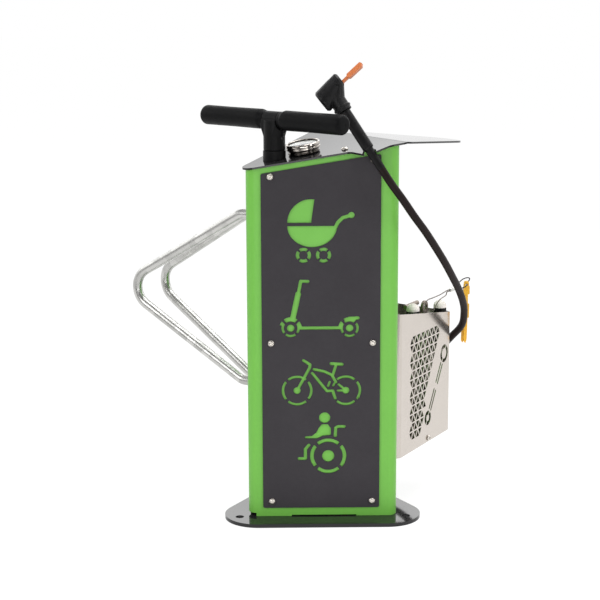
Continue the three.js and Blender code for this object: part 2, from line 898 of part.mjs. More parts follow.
// Plan outline of the roof plate, with the hose rest's tongue on its front edge
function roofShape() {
  const reach = postReach + deckOverhang;
  const corner = 2 * postReach;
  const edge = -reach;
  const leftTip = [-(corner + 2 * deckOverhang) * fallX, edge];
  const wingReach = corner + deckOverhang;
  const bluntX = (wingReach + edge * fallY) / fallX;
  const tip = 2 * wingReach;
  const backX = (wingReach * fallY - reach) / fallX;
  const tongueY = restY - tongueReach;
  const points = [
    leftTip,
    [restX - tongueLeft, edge],
    [restX - tongueTipLeft, tongueY],
    [restX - tongueTipLeft + tongueTipRight, tongueY],
    [restX + tongueTipRight, tongueY + tongueStep],
    [restX + tongueRight, edge],
    [bluntX, edge],
    [tip * fallX, tip * fallY],
    [backX, wingReach],
  ];
  const radii = [
    deckSharpRadius, tongueTipLeft, tongueTipLeft / 2, tongueTipLeft / 4, tongueTipLeft / 4,
    tongueTipRight, deckBluntRadius, wingTipRadius, deckBluntRadius,
  ];
  return rounded(points, radii);
}

function roofPlate() {
  const outline = solid(raised(roofShape(), 0, foldHeight + overrun, cornerSteps));
  const top = below(deckHeight).intersect(below(wingHeight));
  const under = below(deckUnder).intersect(below(wingUnder));
  let plate = outline.intersect(top).subtract(under);
  const frame = deckFrame(restX, restY);
  const slot = solid(raised(disc([0, 0], restSlotWidth / 2), -overrun, overrun), frame.matrix);
  const half = restSlotWidth / 2;
  const mouth = solid(block([-half, -2 * overrun, -overrun], [half, 0, overrun]), frame.matrix);
  plate = plate.subtract(slot).subtract(mouth);
  const pumpHole = bar(barrelDiameter + 4 * seat, 0, foldHeight + overrun);
  plate = plate.subtract(solid(pumpHole, atPlace(pumpX, pumpY, 0)));
  const gaugeHole = bar(gaugeStemDiameter + 2 * seat, -overrun, overrun);
  plate = plate.subtract(solid(gaugeHole, deckFrame(gaugeX, gaugeY).matrix));
  const drill = bar(screwShank + 2 * seat, -overrun, overrun, smallRoundSteps);
  for (const place of deckScrewPlaces) {
    const [x, y] = planFrom(place);
    plate = plate.subtract(solid(drill, deckFrame(x, y).matrix));
  }
  return plate;
}

function frontPanel() {
  const outline = rounded(panelCorners, panelCornerRadius);
  let plate = solid(raised(outline, seat, seat + panelThickness));
  const drill = bar(screwShank + 2 * seat, -overrun, overrun, smallRoundSteps);
  for (const [x, y] of panelScrewPlaces) {
    plate = plate.subtract(solid(drill, atPlace(x, y, 0)));
  }
  for (const cutter of panelPictograms()) {
    plate = plate.subtract(cutter);
  }
  return plate;
}

// Pump pieces, about the pump's own axis
const barrelBore = barrelDiameter - 2 * barrelWall;
const pistonDiameter = barrelBore - 2 * slide;
const pistonBottom = barrelBottom + pistonRestGap;
const pistonTop = pistonBottom + pistonLength;
const footTop = barrelBottom - seat;
const footBottom = footTop - footValveHeight;

function pumpBarrel() {
  const outer = barrelDiameter / 2;
  const inner = barrelBore / 2;
  return solid(turned([
    [inner, barrelBottom], [outer, barrelBottom], [outer, barrelTop], [inner, barrelTop],
  ]));
}

function footValve() {
  const spigot = pistonDiameter / 2;
  const profile = [
    [0, footBottom - footNippleLength],
    [footNippleDiameter / 2, footBottom - footNippleLength],
    [footNippleDiameter / 2, footBottom],
    [footValveDiameter / 2, footBottom],
    [footValveDiameter / 2, footTop],
    [spigot, footTop],
    [spigot, footTop + footSpigotHeight],
    [0, footTop + footSpigotHeight],
  ];
  const body = solid(turned(profile));
  return body.subtract(solid(bar(gaugePipeDiameter, -overrun, 2 * barrelBottom, smallRoundSteps)));
}

function pumpBracket() {
  const top = footBottom - seat;
  const bottom = top - bracketThickness;
  const inner = triangle(postReach - postWall - seat, postCornerRadius - postWall - seat);
  const corner = -2 * postReach + bracketDepth;
  const cutter = solid(block(
    [corner, -2 * postSide, -overrun],
    [2 * postSide, 2 * postSide, 2 * barrelBottom],
  ), new THREE.Matrix4().makeRotationZ(roofTurn));
  const plate = solid(raised(inner, bottom, top, cornerSteps)).subtract(cutter);
  const hole = bar(footNippleDiameter + 4 * seat, 0, 2 * barrelBottom);
  return plate.subtract(solid(hole, atPlace(pumpX, pumpY, 0)));
}

function deckCollar() {
  const outer = collarDiameter / 2;
  const inner = barrelDiameter / 2 + seat;
  const neck = bushDiameter / 2 + seat;
  const body = solid(turned([
    [inner, 0], [outer, 0], [outer, collarTop], [neck, collarTop],
    [neck, barrelTop + seat], [inner, barrelTop + seat],
  ]), atPlace(pumpX, pumpY, 0));
  return body.subtract(below((x, y) => deckHeight(x, y) + seat));
}

function rodBush() {
  const outer = bushDiameter / 2;
  const inner = rodDiameter / 2 + slide;
  const top = collarTop;
  return solid(turned([
    [inner, top - bushLength], [outer, top - bushLength], [outer, top], [inner, top],
  ]));
}

function piston() {
  const outer = pistonDiameter / 2;
  const root = outer - sealDepth;
  const middle = (pistonBottom + pistonTop) / 2;
  const low = middle - sealHeight / 2 - seat;
  const high = middle + sealHeight / 2 + seat;
  const socket = rodDiameter / 2 + slide;
  return solid(turned([
    [0, pistonBottom], [outer, pistonBottom], [outer, low], [root, low], [root, high], [outer, high],
    [outer, pistonTop], [socket, pistonTop], [socket, pistonTop - pistonSocket],
    [0, pistonTop - pistonSocket],
  ]));
}

function pistonSeal() {
  const outer = barrelBore / 2 - slide / 2;
  const root = pistonDiameter / 2 - sealDepth + slide / 2;
  const middle = (pistonBottom + pistonTop) / 2;
  const half = sealHeight / 2;
  return solid(turned([
    [root, middle - half], [outer, middle - half], [outer, middle + half], [root, middle + half],
  ]));
}

function pumpRod() {
  const top = handleHeight - coreDiameter / 2 - seat;
  return solid(bar(rodDiameter, pistonTop - pistonSocket + slide, top));
}

// Handle pieces: X along the handle, the pump's axis as Z
function handleHub() {
  const foot = collarTop + seat;
  const sleeveHalf = hubTopLength / 2;
  const stem = solid(bar(hubFootDiameter, foot, handleHeight));
  const footHalf = hubFootDiameter / 2;
  const web = new THREE.Shape();
  web.moveTo(-footHalf, foot);
  web.lineTo(footHalf, foot);
  web.lineTo(footHalf, foot + hubNeckHeight);
  web.lineTo(sleeveHalf, handleHeight - hubFootHeight);
  web.lineTo(sleeveHalf, handleHeight);
  web.lineTo(-sleeveHalf, handleHeight);
  web.lineTo(-sleeveHalf, handleHeight - hubFootHeight);
  web.lineTo(-footHalf, foot + hubNeckHeight);
  web.closePath();
  const upright = new THREE.Matrix4().makeRotationX(Math.PI / 2);
  const broad = solid(raised(web, -hubWidth / 2, hubWidth / 2), upright);
  const cone = solid(turned([
    [0, foot], [footHalf, foot], [footHalf, foot + hubNeckHeight], [sleeveHalf, handleHeight],
    [0, handleHeight],
  ]));
  const along = new THREE.Matrix4().makeRotationY(Math.PI / 2);
  const barAtHandle = new THREE.Matrix4().makeTranslation(0, 0, handleHeight).multiply(along);
  const sleeve = solid(bar(hubSleeveDiameter, -gripStart + seat, gripStart - seat), barAtHandle);
  let hub = stem.add(broad.intersect(cone)).add(sleeve);
  const gripRoom = gripDiameter + 2 * seat;
  hub = hub.subtract(solid(bar(gripRoom, gripStart - seat, gripRightEnd), barAtHandle));
  hub = hub.subtract(solid(bar(gripRoom, -gripLeftEnd, seat - gripStart), barAtHandle));
  hub = hub.subtract(solid(bar(coreDiameter + 2 * seat, -gripLeftEnd, gripRightEnd), barAtHandle));
  return hub.subtract(solid(bar(rodDiameter + 2 * seat, 0, handleHeight)));
}

function handleCore() {
  const outer = coreDiameter / 2;
  const inner = outer - coreWall;
  const along = new THREE.Matrix4().makeRotationY(Math.PI / 2);
  const place = new THREE.Matrix4().makeTranslation(0, 0, handleHeight).multiply(along);
  return solid(turned([
    [inner, gripCap - gripLeftEnd], [outer, gripCap - gripLeftEnd],
    [outer, gripRightEnd - gripCap], [inner, gripRightEnd - gripCap],
  ]), place);
}

function grip(side, gripEnd) {
  const outer = gripDiameter / 2;
  const bore = coreDiameter / 2 + seat;
  const round = gripEndRound;
  const profile = [
    [bore, gripStart],
    [gripNeckDiameter / 2, gripStart],
    [outer, gripStart + gripNeckLength],
    [outer, gripEnd - round],
  ];
  for (const turn of [30, 60]) {
    const out = outer - round + round * Math.cos(turn * degree);
    profile.push([out, gripEnd - round + round * Math.sin(turn * degree)]);
  }
  profile.push([outer - round, gripEnd]);
  profile.push([0, gripEnd]);
  profile.push([0, gripEnd - gripCap + seat]);
  profile.push([bore, gripEnd - gripCap + seat]);
  const points = profile.map(([radius, height]) => new THREE.Vector2(radius, height));
  points.push(points[0].clone());
  const shape = new THREE.LatheGeometry(points, roundSteps).rotateX(Math.PI / 2);
  const along = new THREE.Matrix4().makeRotationY((side * Math.PI) / 2);
  return solid(shape, new THREE.Matrix4().makeTranslation(0, 0, handleHeight).multiply(along));
}

// Gauge pieces, about the gauge's axis with the deck at zero
const gaugeRim = gaugeHeight;
const dialBottom = gaugeFloor + seat;
const dialTop = dialBottom + dialThickness;
const glassBottom = gaugeRim + seat;
const glassTop = glassBottom + glassThickness;

function gaugeCase() {
  const outer = gaugeDiameter / 2;
  const inner = outer - gaugeWall;
  const foot = seat;
  const stem = gaugeStemDiameter / 2;
  const body = solid(turned([
    [0, -gaugeStemLength], [stem, -gaugeStemLength], [stem, foot], [outer - gaugeWall / 2, foot],
    [outer, foot + gaugeWall / 2], [outer, gaugeRim], [inner, gaugeRim], [inner, gaugeFloor],
    [0, gaugeFloor],
  ]));
  const spindle = bar(spindleDiameter + 4 * seat, gaugeFloor / 2, gaugeRim, smallRoundSteps);
  return body.subtract(solid(spindle));
}

function gaugeDial() {
  const outer = gaugeDiameter / 2 - gaugeWall - seat;
  const inner = spindleDiameter / 2 + seat;
  return solid(turned([
    [inner, dialBottom], [outer, dialBottom], [outer, dialTop], [inner, dialTop],
  ]));
}

function gaugeNeedle() {
  const bottom = dialTop + 2 * seat;
  const top = bottom + needleThickness;
  const half = needleWidth / 2;
  const pointer = new THREE.Shape();
  pointer.moveTo(-needleTail, -half);
  pointer.lineTo(needleLength, -half / 4);
  pointer.lineTo(needleLength, half / 4);
  pointer.lineTo(-needleTail, half);
  pointer.closePath();
  const arm = solid(raised(pointer, bottom, top));
  const hub = solid(bar(needleHubDiameter, bottom, top + needleThickness, smallRoundSteps));
  const low = gaugeFloor / 2 + seat;
  return arm.add(hub).add(solid(bar(spindleDiameter, low, top, smallRoundSteps)));
}

function gaugeGlass() {
  return solid(bar(gaugeDiameter - seat, glassBottom, glassTop));
}

function gaugeBezel() {
  const inner = gaugeDiameter / 2 + seat;
  const outer = inner + bezelWall;
  const top = glassTop + seat + bezelLip;
  const lip = inner - bezelLipWidth;
  return solid(turned([
    [inner, top - bezelHeight], [outer, top - bezelHeight], [outer, top - bezelLip / 2],
    [outer - bezelLip / 2, top], [lip + bezelLip / 2, top], [lip, top - bezelLip],
    [inner, top - bezelLip],
  ], 2 * smallRoundSteps));
}

// Gland on the basket wall, out of it along Z
function hoseGland() {
  const flange = glandFlangeDiameter / 2;
  const neck = glandNeckDiameter / 2;
  const thread = glandThreadDiameter / 2;
  const nut = glandNutDiameter / 2;
  const wallIn = -postWall;
  const body = solid(turned([
    [0, wallIn - seat - glandNutLength], [nut, wallIn - seat - glandNutLength], [nut, wallIn - seat],
    [thread, wallIn - seat], [thread, seat], [flange, seat], [flange, seat + glandFlangeThickness],
    [neck, seat + 2 * glandFlangeThickness], [neck - seat, glandLength], [0, glandLength],
  ]));
  const bore = bar(hoseBore, -overrun - glandNutLength, glandLength + overrun, smallRoundSteps);
  return body.subtract(solid(bore));
}

// Head frame: its origin in the mouth, X towards the lever end
const restPoint = new THREE.Vector3(restX, restY, deckHeight(restX, restY));
const neckPoint = new THREE.Vector3(neckX, neckY, neckZ);
const neckUp = neckPoint.clone().sub(restPoint).normalize();
const headOut = new THREE.Vector3(Math.cos(headLean), 0, Math.sin(headLean));
const headSide = neckUp.clone().cross(headOut).normalize();
const headUp = headOut.clone().cross(headSide);
const headFrame = new THREE.Group();
headFrame.position.set(headX, headY, headZ);
headFrame.quaternion.setFromRotationMatrix(
  new THREE.Matrix4().makeBasis(headOut, headSide, headUp),
);
headFrame.updateMatrix();

// Neck frame: Z down the neck and the sleeve, from the head's centre
const neckFrame = new THREE.Group();
const neckDown = neckUp.clone().negate();
neckFrame.position.copy(neckPoint);
neckFrame.quaternion.setFromUnitVectors(new THREE.Vector3(0, 0, 1), neckDown);
neckFrame.updateMatrix();
const headInverse = headFrame.matrix.clone().invert();
const neckInHead = new THREE.Matrix4().multiplyMatrices(headInverse, neckFrame.matrix);
const alongX = new THREE.Matrix4().makeRotationY(Math.PI / 2);
const alongY = new THREE.Matrix4().makeRotationX(-Math.PI / 2);

function ringPoints(radius, height, matrix) {
  const points = [];
  for (let i = 0; i < roundSteps; i += 1) {
    const angle = (2 * Math.PI * i) / roundSteps;
    const spoke = new THREE.Vector3(radius * Math.cos(angle), radius * Math.sin(angle), height);
    points.push(spoke.applyMatrix4(matrix));
  }
  return points;
}

function pumpHead() {
  const mouth = headMouthDiameter / 2;
  const back = headBackDiameter / 2;
  const round = headEdgeRound;
  const raisedBy = (rise) => atPlace(0, 0, rise).multiply(alongX);
  const backPlace = raisedBy(headBackRise);
  const body = solid(new ConvexGeometry([
    ...ringPoints(mouth - round, 0, alongX),
    ...ringPoints(mouth, round, alongX),
    ...ringPoints(mouth, 2 * round, alongX),
    ...ringPoints(back, headLength - round, backPlace),
    ...ringPoints(back - round, headLength, backPlace),
  ]));
  const shoulder = solid(new ConvexGeometry([
    ...ringPoints(back, headLength - round, backPlace),
    ...ringPoints(back - round, headLength - headNeckInset, backPlace),
    ...ringPoints(headNeckDiameter / 2, headNeckTop, neckInHead),
    ...ringPoints(headNeckDiameter / 2, 0, neckInHead),
  ]));
  const neck = solid(turned([
    [0, 0], [headNeckDiameter / 2, 0], [headNeckDiameter / 2, headCollarFrom],
    [headCollarDiameter / 2, headCollarFrom],
    [headCollarDiameter / 2, headCollarFrom + headCollarLength],
    [headNeckDiameter / 2, headCollarFrom + headCollarLength],
    [headNeckDiameter / 2, headNeckLength], [0, headNeckLength],
  ]), neckInHead);
  let head = body.add(shoulder).add(neck);
  const mouthBore = bar(headBoreDiameter, -overrun, headBoreDepth);
  head = head.subtract(solid(mouthBore, alongX));
  const slotHalf = leverNeckWidth / 2 + leverSlotGap;
  const slotFrom = leverPinReach - leverEyeDiameter / 2 - leverSlotGap;
  const slotLow = [slotFrom, -slotHalf, leverPinRise - leverSlotDepth];
  const slotHigh = [headLength + overrun, slotHalf, headLength];
  head = head.subtract(solid(block(slotLow, slotHigh)));
  const pinHole = bar(leverPinDiameter + 2 * seat, -headBackDiameter, headBackDiameter);
  const place = atPlace(leverPinReach, 0, leverPinRise).multiply(alongY);
  head = head.subtract(solid(pinHole, place));
  const airBore = bar(hoseBore, headBoreDepth, headNeckLength + overrun, smallRoundSteps);
  return head.subtract(solid(airBore, neckInHead));
}

function headSeal() {
  const outer = headBoreDiameter / 2 - seat;
  const inner = sealRingBore / 2;
  const from = headBoreDepth - seat;
  return solid(turned([
    [inner, from - sealRingLength], [outer, from - sealRingLength], [outer, from], [inner, from],
  ]), alongX);
}

function headLever() {
  const eye = solid(bar(leverEyeDiameter, -leverNeckWidth / 2, leverNeckWidth / 2), alongY);
  const neckHalf = leverNeckThickness / 2;
  const neckLow = [0, -leverNeckWidth / 2, -neckHalf];
  const neckHigh = [leverNeckLength + leverThickness / 2, leverNeckWidth / 2, neckHalf];
  const neck = solid(block(neckLow, neckHigh));
  const half = leverThickness / 2;
  const side = new THREE.Shape();
  side.moveTo(leverNeckLength, 0);
  side.lineTo(leverNeckLength + half, -half);
  side.lineTo(leverLength - half, -half);
  side.lineTo(leverLength, 0);
  side.lineTo(leverLength - half / 2, half);
  side.lineTo(leverNeckLength + half, half);
  side.closePath();
  const upright = new THREE.Matrix4().makeRotationX(Math.PI / 2);
  const paddle = solid(raised(side, -leverWidth / 2, leverWidth / 2), upright);
  const hole = solid(bar(leverPinDiameter + 2 * seat, -leverWidth, leverWidth), alongY);
  return eye.add(neck).add(paddle).subtract(hole);
}

function leverPin() {
  const reach = headBackDiameter / 2 - 2 * seat;
  return solid(bar(leverPinDiameter, -reach, reach, smallRoundSteps), alongY);
}

// Sleeve on the hose, down the neck
const sleeveFrom = headNeckLength + seat;
const sleeveNeckFrom = sleeveFrom + sleeveLength;
const sleeveTaperFrom = sleeveNeckFrom + sleeveNeckLength;
const sleeveEnd = sleeveTaperFrom + sleeveTaperLength;

function hoseSleeve() {
  const outer = sleeveDiameter / 2;
  const neck = sleeveNeckDiameter / 2;
  const tail = hoseDiameter / 2 + seat;
  const body = solid(turned([
    [0, sleeveFrom], [outer, sleeveFrom], [outer, sleeveNeckFrom - (outer - neck)],
    [neck, sleeveNeckFrom], [neck, sleeveTaperFrom], [tail, sleeveEnd], [0, sleeveEnd],
  ]));
  return body.subtract(solid(bar(hoseBore, 0, 2 * sleeveEnd, smallRoundSteps)));
}

// Hose route, from the gland on the basket face to the sleeve's lower end
const hoseStart = new THREE.Vector3(glandAlong, glandHeight, glandLength + seat)
  .applyMatrix4(basketWall.matrix);
const hoseLead = new THREE.Vector3(fallX, fallY, 0);
const hoseEnd = neckPoint.clone().addScaledVector(neckDown, sleeveEnd + seat);
const hosePlaces = [
  [140, 157, 79], [172, 180, 92], [200, 199, 115], [226, 213, 147], [243, 220, 180],
  [252, 221, 214], [259, 218, 249], [269, 211, 282], [285, 200, 311], [305.6, 182, 340.5],
  [325.3, 155, 373], [326.7, 124, 410.3], [320.5, 96, 439], [305.4, 54, 476], [283.4, 6, 518],
  [265.1, -29, 551], [244.5, -62, 585], [215.5, -100, 630], [187, -129, 670], [164.7, -142, 703],
];

function hoseCurve() {
  const lead = hoseDiameter * 2;
  const points = [
    hoseStart.clone(),
    hoseStart.clone().addScaledVector(hoseLead, lead),
    ...hosePlaces.map((place) => new THREE.Vector3(...place)),
    hoseEnd.clone().addScaledVector(neckDown, lead),
    hoseEnd.clone(),
  ];
  return new THREE.CatmullRomCurve3(points, false, 'centripetal');
}

// Air pipes inside the post
const footCentreHeight = (footTop + footBottom) / 2;
function outletPipe() {
  const start = new THREE.Vector3(pumpX, pumpY, footBottom - footNippleLength - seat);
  const end = new THREE.Vector3(
    glandAlong, glandHeight, -postWall - 2 * seat - glandNutLength,
  ).applyMatrix4(basketWall.matrix);
  const drop = start.z - end.z;
  const path = new THREE.CubicBezierCurve3(
    start,
    start.clone().setZ(start.z - drop),
    end.clone().addScaledVector(hoseLead, -drop),
    end,
  );
  return solid(tube(path, pipeDiameter, pipeSides, pipeSteps));
}

function gaugePipe() {
  const top = new THREE.Vector3(0, 0, -gaugeStemLength - seat)
    .applyMatrix4(deckFrame(gaugeX, gaugeY).matrix);
  const end = new THREE.Vector3(pumpX + footValveDiameter / 2 + seat, pumpY, footCentreHeight);
  const drop = top.z - end.z;
  const reach = gaugeX - pumpX;
  const path = new THREE.CurvePath();
  const kneeTop = new THREE.Vector3(top.x, end.y, end.z + reach);
  const first = top.clone().addScaledVector(deckNormal, -reach);
  path.add(new THREE.CubicBezierCurve3(
    top, first, kneeTop.clone().setZ(kneeTop.z + drop / 3), kneeTop,
  ));
  path.add(new THREE.QuadraticBezierCurve3(kneeTop, new THREE.Vector3(top.x, end.y, end.z), end));
  return solid(tube(path, gaugePipeDiameter, pipeSides, pipeSteps));
}

// Bent holder tube in the holder wall's axes, one arm up and one down from its apex
function holderTube(along, splay) {
  const vertex = holderReach + holderApexRadius * (1 / Math.sin(holderPitch) - 1);
  const rise = (vertex - holderRootReach) * Math.tan(holderPitch);
  const point = (side, out) => new THREE.Vector3(0, holderHeight + side * rise, out);
  const path = bentPath([
    point(1, -holderTubeDiameter),
    point(1, holderRootReach),
    new THREE.Vector3(0, holderHeight, vertex),
    point(-1, holderRootReach),
    point(-1, -holderTubeDiameter),
  ], [holderRootRadius, holderApexRadius, holderRootRadius]);
  const turn = new THREE.Matrix4().makeRotationY(-splay);
  const place = atPlace(along, 0, 0).multiply(turn);
  const bent = solid(tube(path, holderTubeDiameter, holderSides, holderSteps), place);
  const wallLow = [along - holderReach, 0, -holderReach];
  const wallHigh = [along + holderReach, 2 * holderHeight, seat];
  return bent.subtract(solid(block(wallLow, wallHigh)));
}

// Basket: plan triangle with its base on the post's face
const basketInside = (2 * basketReach - postReach) / 3;
const basketCentre = postReach + basketInside;
const basketPlan = new THREE.Matrix4().makeRotationZ(roofTurn)
  .multiply(new THREE.Matrix4().makeTranslation(basketCentre, 0, 0))
  .multiply(new THREE.Matrix4().makeRotationZ(-Math.PI / 2));
const basketRim = (x, y) => basketRimHeight - basketRimSlopeShare * (roofRun(x, y) - postReach);
const basketHalfBase = (basketInside - basketCornerRadius) * Math.sqrt(3) + basketCornerRadius;
const basketScrewX = basketHalfBase - basketScrewInset;
const basketScrewPlaces = [];
for (const x of [-basketScrewX, basketScrewX]) {
  for (const share of basketScrewHeightShares) {
    basketScrewPlaces.push([x, basketBottom + (basketRimHeight - basketBottom) * share]);
  }
}

function perforationCutters() {
  const cutters = [];
  const rowHeight = (perforationPitch * Math.sqrt(3)) / 2;
  const inset = perforationBar / 2;
  const fullReach = perforationPitch / (2 * Math.sqrt(3));
  const reach = fullReach - inset;
  for (let row = 0; row < perforationCounts.length; row += 1) {
    const count = perforationCounts[row];
    const bottom = perforationTop - (row + 1) * rowHeight;
    for (let column = 0; column < count; column += 1) {
      const up = (row + column) % 2 === 0;
      const x = perforationLeft + (perforationPitch * (column + 1)) / 2;
      const y = up ? bottom + fullReach : bottom + rowHeight - fullReach;
      const shape = new THREE.Shape();
      for (let corner = 0; corner < 3; corner += 1) {
        const angle = (corner * 120 + (up ? 90 : 270)) * degree;
        const cornerX = x + 2 * reach * Math.cos(angle);
        const cornerY = y + 2 * reach * Math.sin(angle);
        if (corner === 0) {
          shape.moveTo(cornerX, cornerY);
        } else {
          shape.lineTo(cornerX, cornerY);
        }
      }
      shape.closePath();
      cutters.push(raised(shape, -2 * basketSheet, 2 * basketSheet));
    }
  }
  return cutters;
}

function stencilCutters() {
  const shapes = [];
  const ringOut = stencilRing / 2;
  const wideOut = stencilWideRing / 2;
  const rings = [
    { centre: [0, 0], outer: ringOut, inner: stencilRingBore / 2 },
    { centre: [stencilLength, 0], outer: wideOut, inner: stencilWideRingBore / 2 },
  ];
  for (const { centre, outer, inner } of rings) {
    const gap = stencilRingBridge / outer / 2;
    for (const start of [0, Math.PI]) {
      shapes.push(arcBand(centre, outer, inner, start + gap, start + Math.PI - gap));
    }
  }
  const from = ringOut + stencilBridge / 2;
  const to = stencilLength - wideOut - stencilBridge / 2;
  const middle = (from + to) / 2;
  for (const side of [-1, 1]) {
    const y = (side * (stencilShaft - stencilSlot)) / 2;
    shapes.push(stroke([from, y], [middle - stencilBridge, y], stencilSlot));
    shapes.push(stroke([middle + stencilBridge, y], [to, y], stencilSlot));
  }
  const place = new THREE.Matrix4().makeTranslation(stencilX, stencilHeight, 0)
    .multiply(new THREE.Matrix4().makeRotationZ(stencilTurn));
  return shapes.map((shape) => solid(
    raised(shape, -2 * basketSheet, 2 * basketSheet, strokeSteps + 1),
    inFrame(nearSide, place),
  ));
}

function basketWallSheet() {
  const outerShape = triangle(basketInside, basketCornerRadius);
  const innerShape = triangle(basketInside - basketSheet, basketCornerRadius - basketSheet);
  const high = basketRimHeight + overrun;
  const away = new THREE.Matrix4().makeTranslation(seat * fallX, seat * fallY, 0);
  const place = away.multiply(basketPlan);
  const outer = solid(raised(outerShape, basketBottom, high), place);
  const inner = solid(raised(innerShape, basketBottom - overrun, high + overrun), place);
  let sheet = outer.subtract(inner);
  const openHalf = basketHalfBase - basketFlange;
  const window = block([-openHalf, 0, -overrun], [openHalf, 2 * basketRimHeight, overrun]);
  sheet = sheet.subtract(solid(window, basketWall.matrix));
  sheet = sheet.intersect(below(basketRim));
  const drill = bar(screwShank + 2 * seat, -overrun, overrun, smallRoundSteps);
  for (const [x, y] of basketScrewPlaces) {
    sheet = sheet.subtract(solid(drill, inFrame(basketWall, atPlace(x, y, 0))));
  }
  const smallDrill = bar(floorScrewShank + 2 * seat, -overrun, overrun, smallRoundSteps);
  for (const frame of [nearSide, farSide]) {
    const x = frame === nearSide ? floorScrewAlong : -floorScrewAlong;
    sheet = sheet.subtract(solid(smallDrill, inFrame(frame, atPlace(x, floorScrewHeight, 0))));
  }
  for (const cutter of perforationCutters()) {
    sheet = sheet.subtract(solid(cutter, nearSide.matrix));
  }
  for (const cutter of stencilCutters()) {
    sheet = sheet.subtract(cutter);
  }
  return sheet;
}

const floorBottom = basketBottom + basketFloorRise;
const floorTop = floorBottom + basketFloorThickness;
const slingPlace = { x: 226, y: 84 };

function basketFloor() {
  const inside = basketInside - basketSheet - seat;
  const shape = triangle(inside, basketCornerRadius - basketSheet - seat);
  const flangeClear = basketSheet + 2 * seat;
  let floor = solid(raised(shape, floorBottom, floorTop), basketPlan);
  const backCut = block([-postSide, 0, -overrun], [postSide, 2 * basketBottom, flangeClear]);
  floor = floor.subtract(solid(backCut, basketWall.matrix));
  const outside = solid(raised(shape, floorBottom, floorTop + floorLipHeight), basketPlan);
  for (const frame of [nearSide, farSide]) {
    const x = frame === nearSide ? floorScrewAlong : -floorScrewAlong;
    const half = floorLipWidth / 2;
    const lipLow = [x - half, floorBottom, -floorLipThickness - basketSheet];
    const lipHigh = [x + half, floorTop + floorLipHeight, 0];
    const lip = solid(block(lipLow, lipHigh), frame.matrix).intersect(outside);
    floor = floor.add(lip);
    const drill = bar(floorScrewShank + 2 * seat, -overrun, overrun, smallRoundSteps);
    floor = floor.subtract(solid(drill, inFrame(frame, atPlace(x, floorScrewHeight, 0))));
  }
  const boss = bar(tetherBossDiameter, floorTop - weld, floorTop + tetherBossHeight);
  const hook = bar(cableDiameter + 2 * tetherHoleGap, -overrun, overrun, smallRoundSteps);
  floor = floor.add(solid(boss, atPlace(slingPlace.x, slingPlace.y, 0)));
  const eyeHeight = floorTop + tetherBossHeight / 2;
  const eye = new THREE.Matrix4().makeTranslation(slingPlace.x, slingPlace.y, eyeHeight)
    .multiply(new THREE.Matrix4().makeRotationZ(tetherTurn)).multiply(alongX);
  return floor.subtract(solid(hook, eye));
}

// Screwdriver: grip with a domed end, and its blade
function driverGrip(place) {
  const outer = driverGripDiameter / 2;
  const waist = driverWaistDiameter / 2;
  const low = place.top - driverGripLength;
  const socket = driverBladeDiameter / 2 + seat;
  const profile = [
    [0, low + driverSocket], [socket, low + driverSocket], [socket, low], [waist * 0.6, low],
    [waist, low + outer], [waist, low + 2 * outer], [outer, low + 3 * outer],
    [outer, place.top - outer],
  ];
  for (const turn of [25, 50, 75]) {
    const rise = outer * Math.sin(turn * degree);
    profile.push([outer * Math.cos(turn * degree), place.top - outer + rise]);
  }
  profile.push([0, place.top]);
  return solid(turned(profile, smallRoundSteps));
}

function driverBlade(place) {
  const low = floorTop + seat;
  const high = place.top - driverGripLength + driverSocket - seat;
  const bladeHalf = driverBladeDiameter / 2;
  const shaft = solid(turned([
    [0, low], [bladeHalf * 0.4, low], [bladeHalf, low + driverTipLength], [bladeHalf, high],
    [0, high],
  ], 12));
  const half = driverTipWidth / 2;
  const thin = driverTipThickness / 2;
  const tip = solid(block([-half, -thin, low], [half, thin, low + driverTipLength]));
  return shaft.add(tip);
}

// Ring and open-end spanner, ring end up, in the plane of the basket's near wall
const spannerTipTurn = Math.asin(spannerJawGap / spannerJaw) - spannerMouthTurn;
const spannerTipRise = (spannerJaw / 2) * (1 - Math.cos(spannerTipTurn));
const spannerLength = spannerTop - floorTop - seat + spannerTipRise;
function spanner() {
  const ringY = spannerLength - spannerRing / 2;
  const jawY = spannerJaw / 2;
  const thick = spannerThickness / 2;
  const shank = spannerShank / 2;
  const ring = solid(raised(disc([0, ringY], spannerRing / 2), -thick, thick, wideCornerSteps));
  const jaw = solid(raised(disc([0, jawY], spannerJaw / 2), -thick, thick, wideCornerSteps));
  const bodyLow = [-shank, jawY, -thick * 0.7];
  const bodyHigh = [shank, ringY, thick * 0.7];
  let made = ring.add(jaw).add(solid(block(bodyLow, bodyHigh)));
  const bore = raised(disc([0, ringY], spannerRingBore / 2), -overrun, overrun);
  made = made.subtract(solid(bore));
  const gap = spannerJawGap / 2;
  const turn = atPlace(0, jawY, 0).multiply(new THREE.Matrix4().makeRotationZ(spannerMouthTurn));
  const mouth = block([-gap, -spannerJaw, -overrun], [gap, gap / 2, overrun]);
  return made.subtract(solid(mouth, turn));
}

// Hexagon key with a cross bar, its blade down
function hexKey() {
  const barHeight = hexKeyTop - hexKeyBarDiameter / 2;
  const blade = solid(bar(hexKeySize, floorTop + seat, barHeight, 6));
  const cross = solid(
    bar(hexKeyBarDiameter, -hexKeyBarLength / 2, hexKeyBarLength / 2, smallRoundSteps),
    atPlace(0, 0, barHeight).multiply(alongX),
  );
  return blade.add(cross);
}

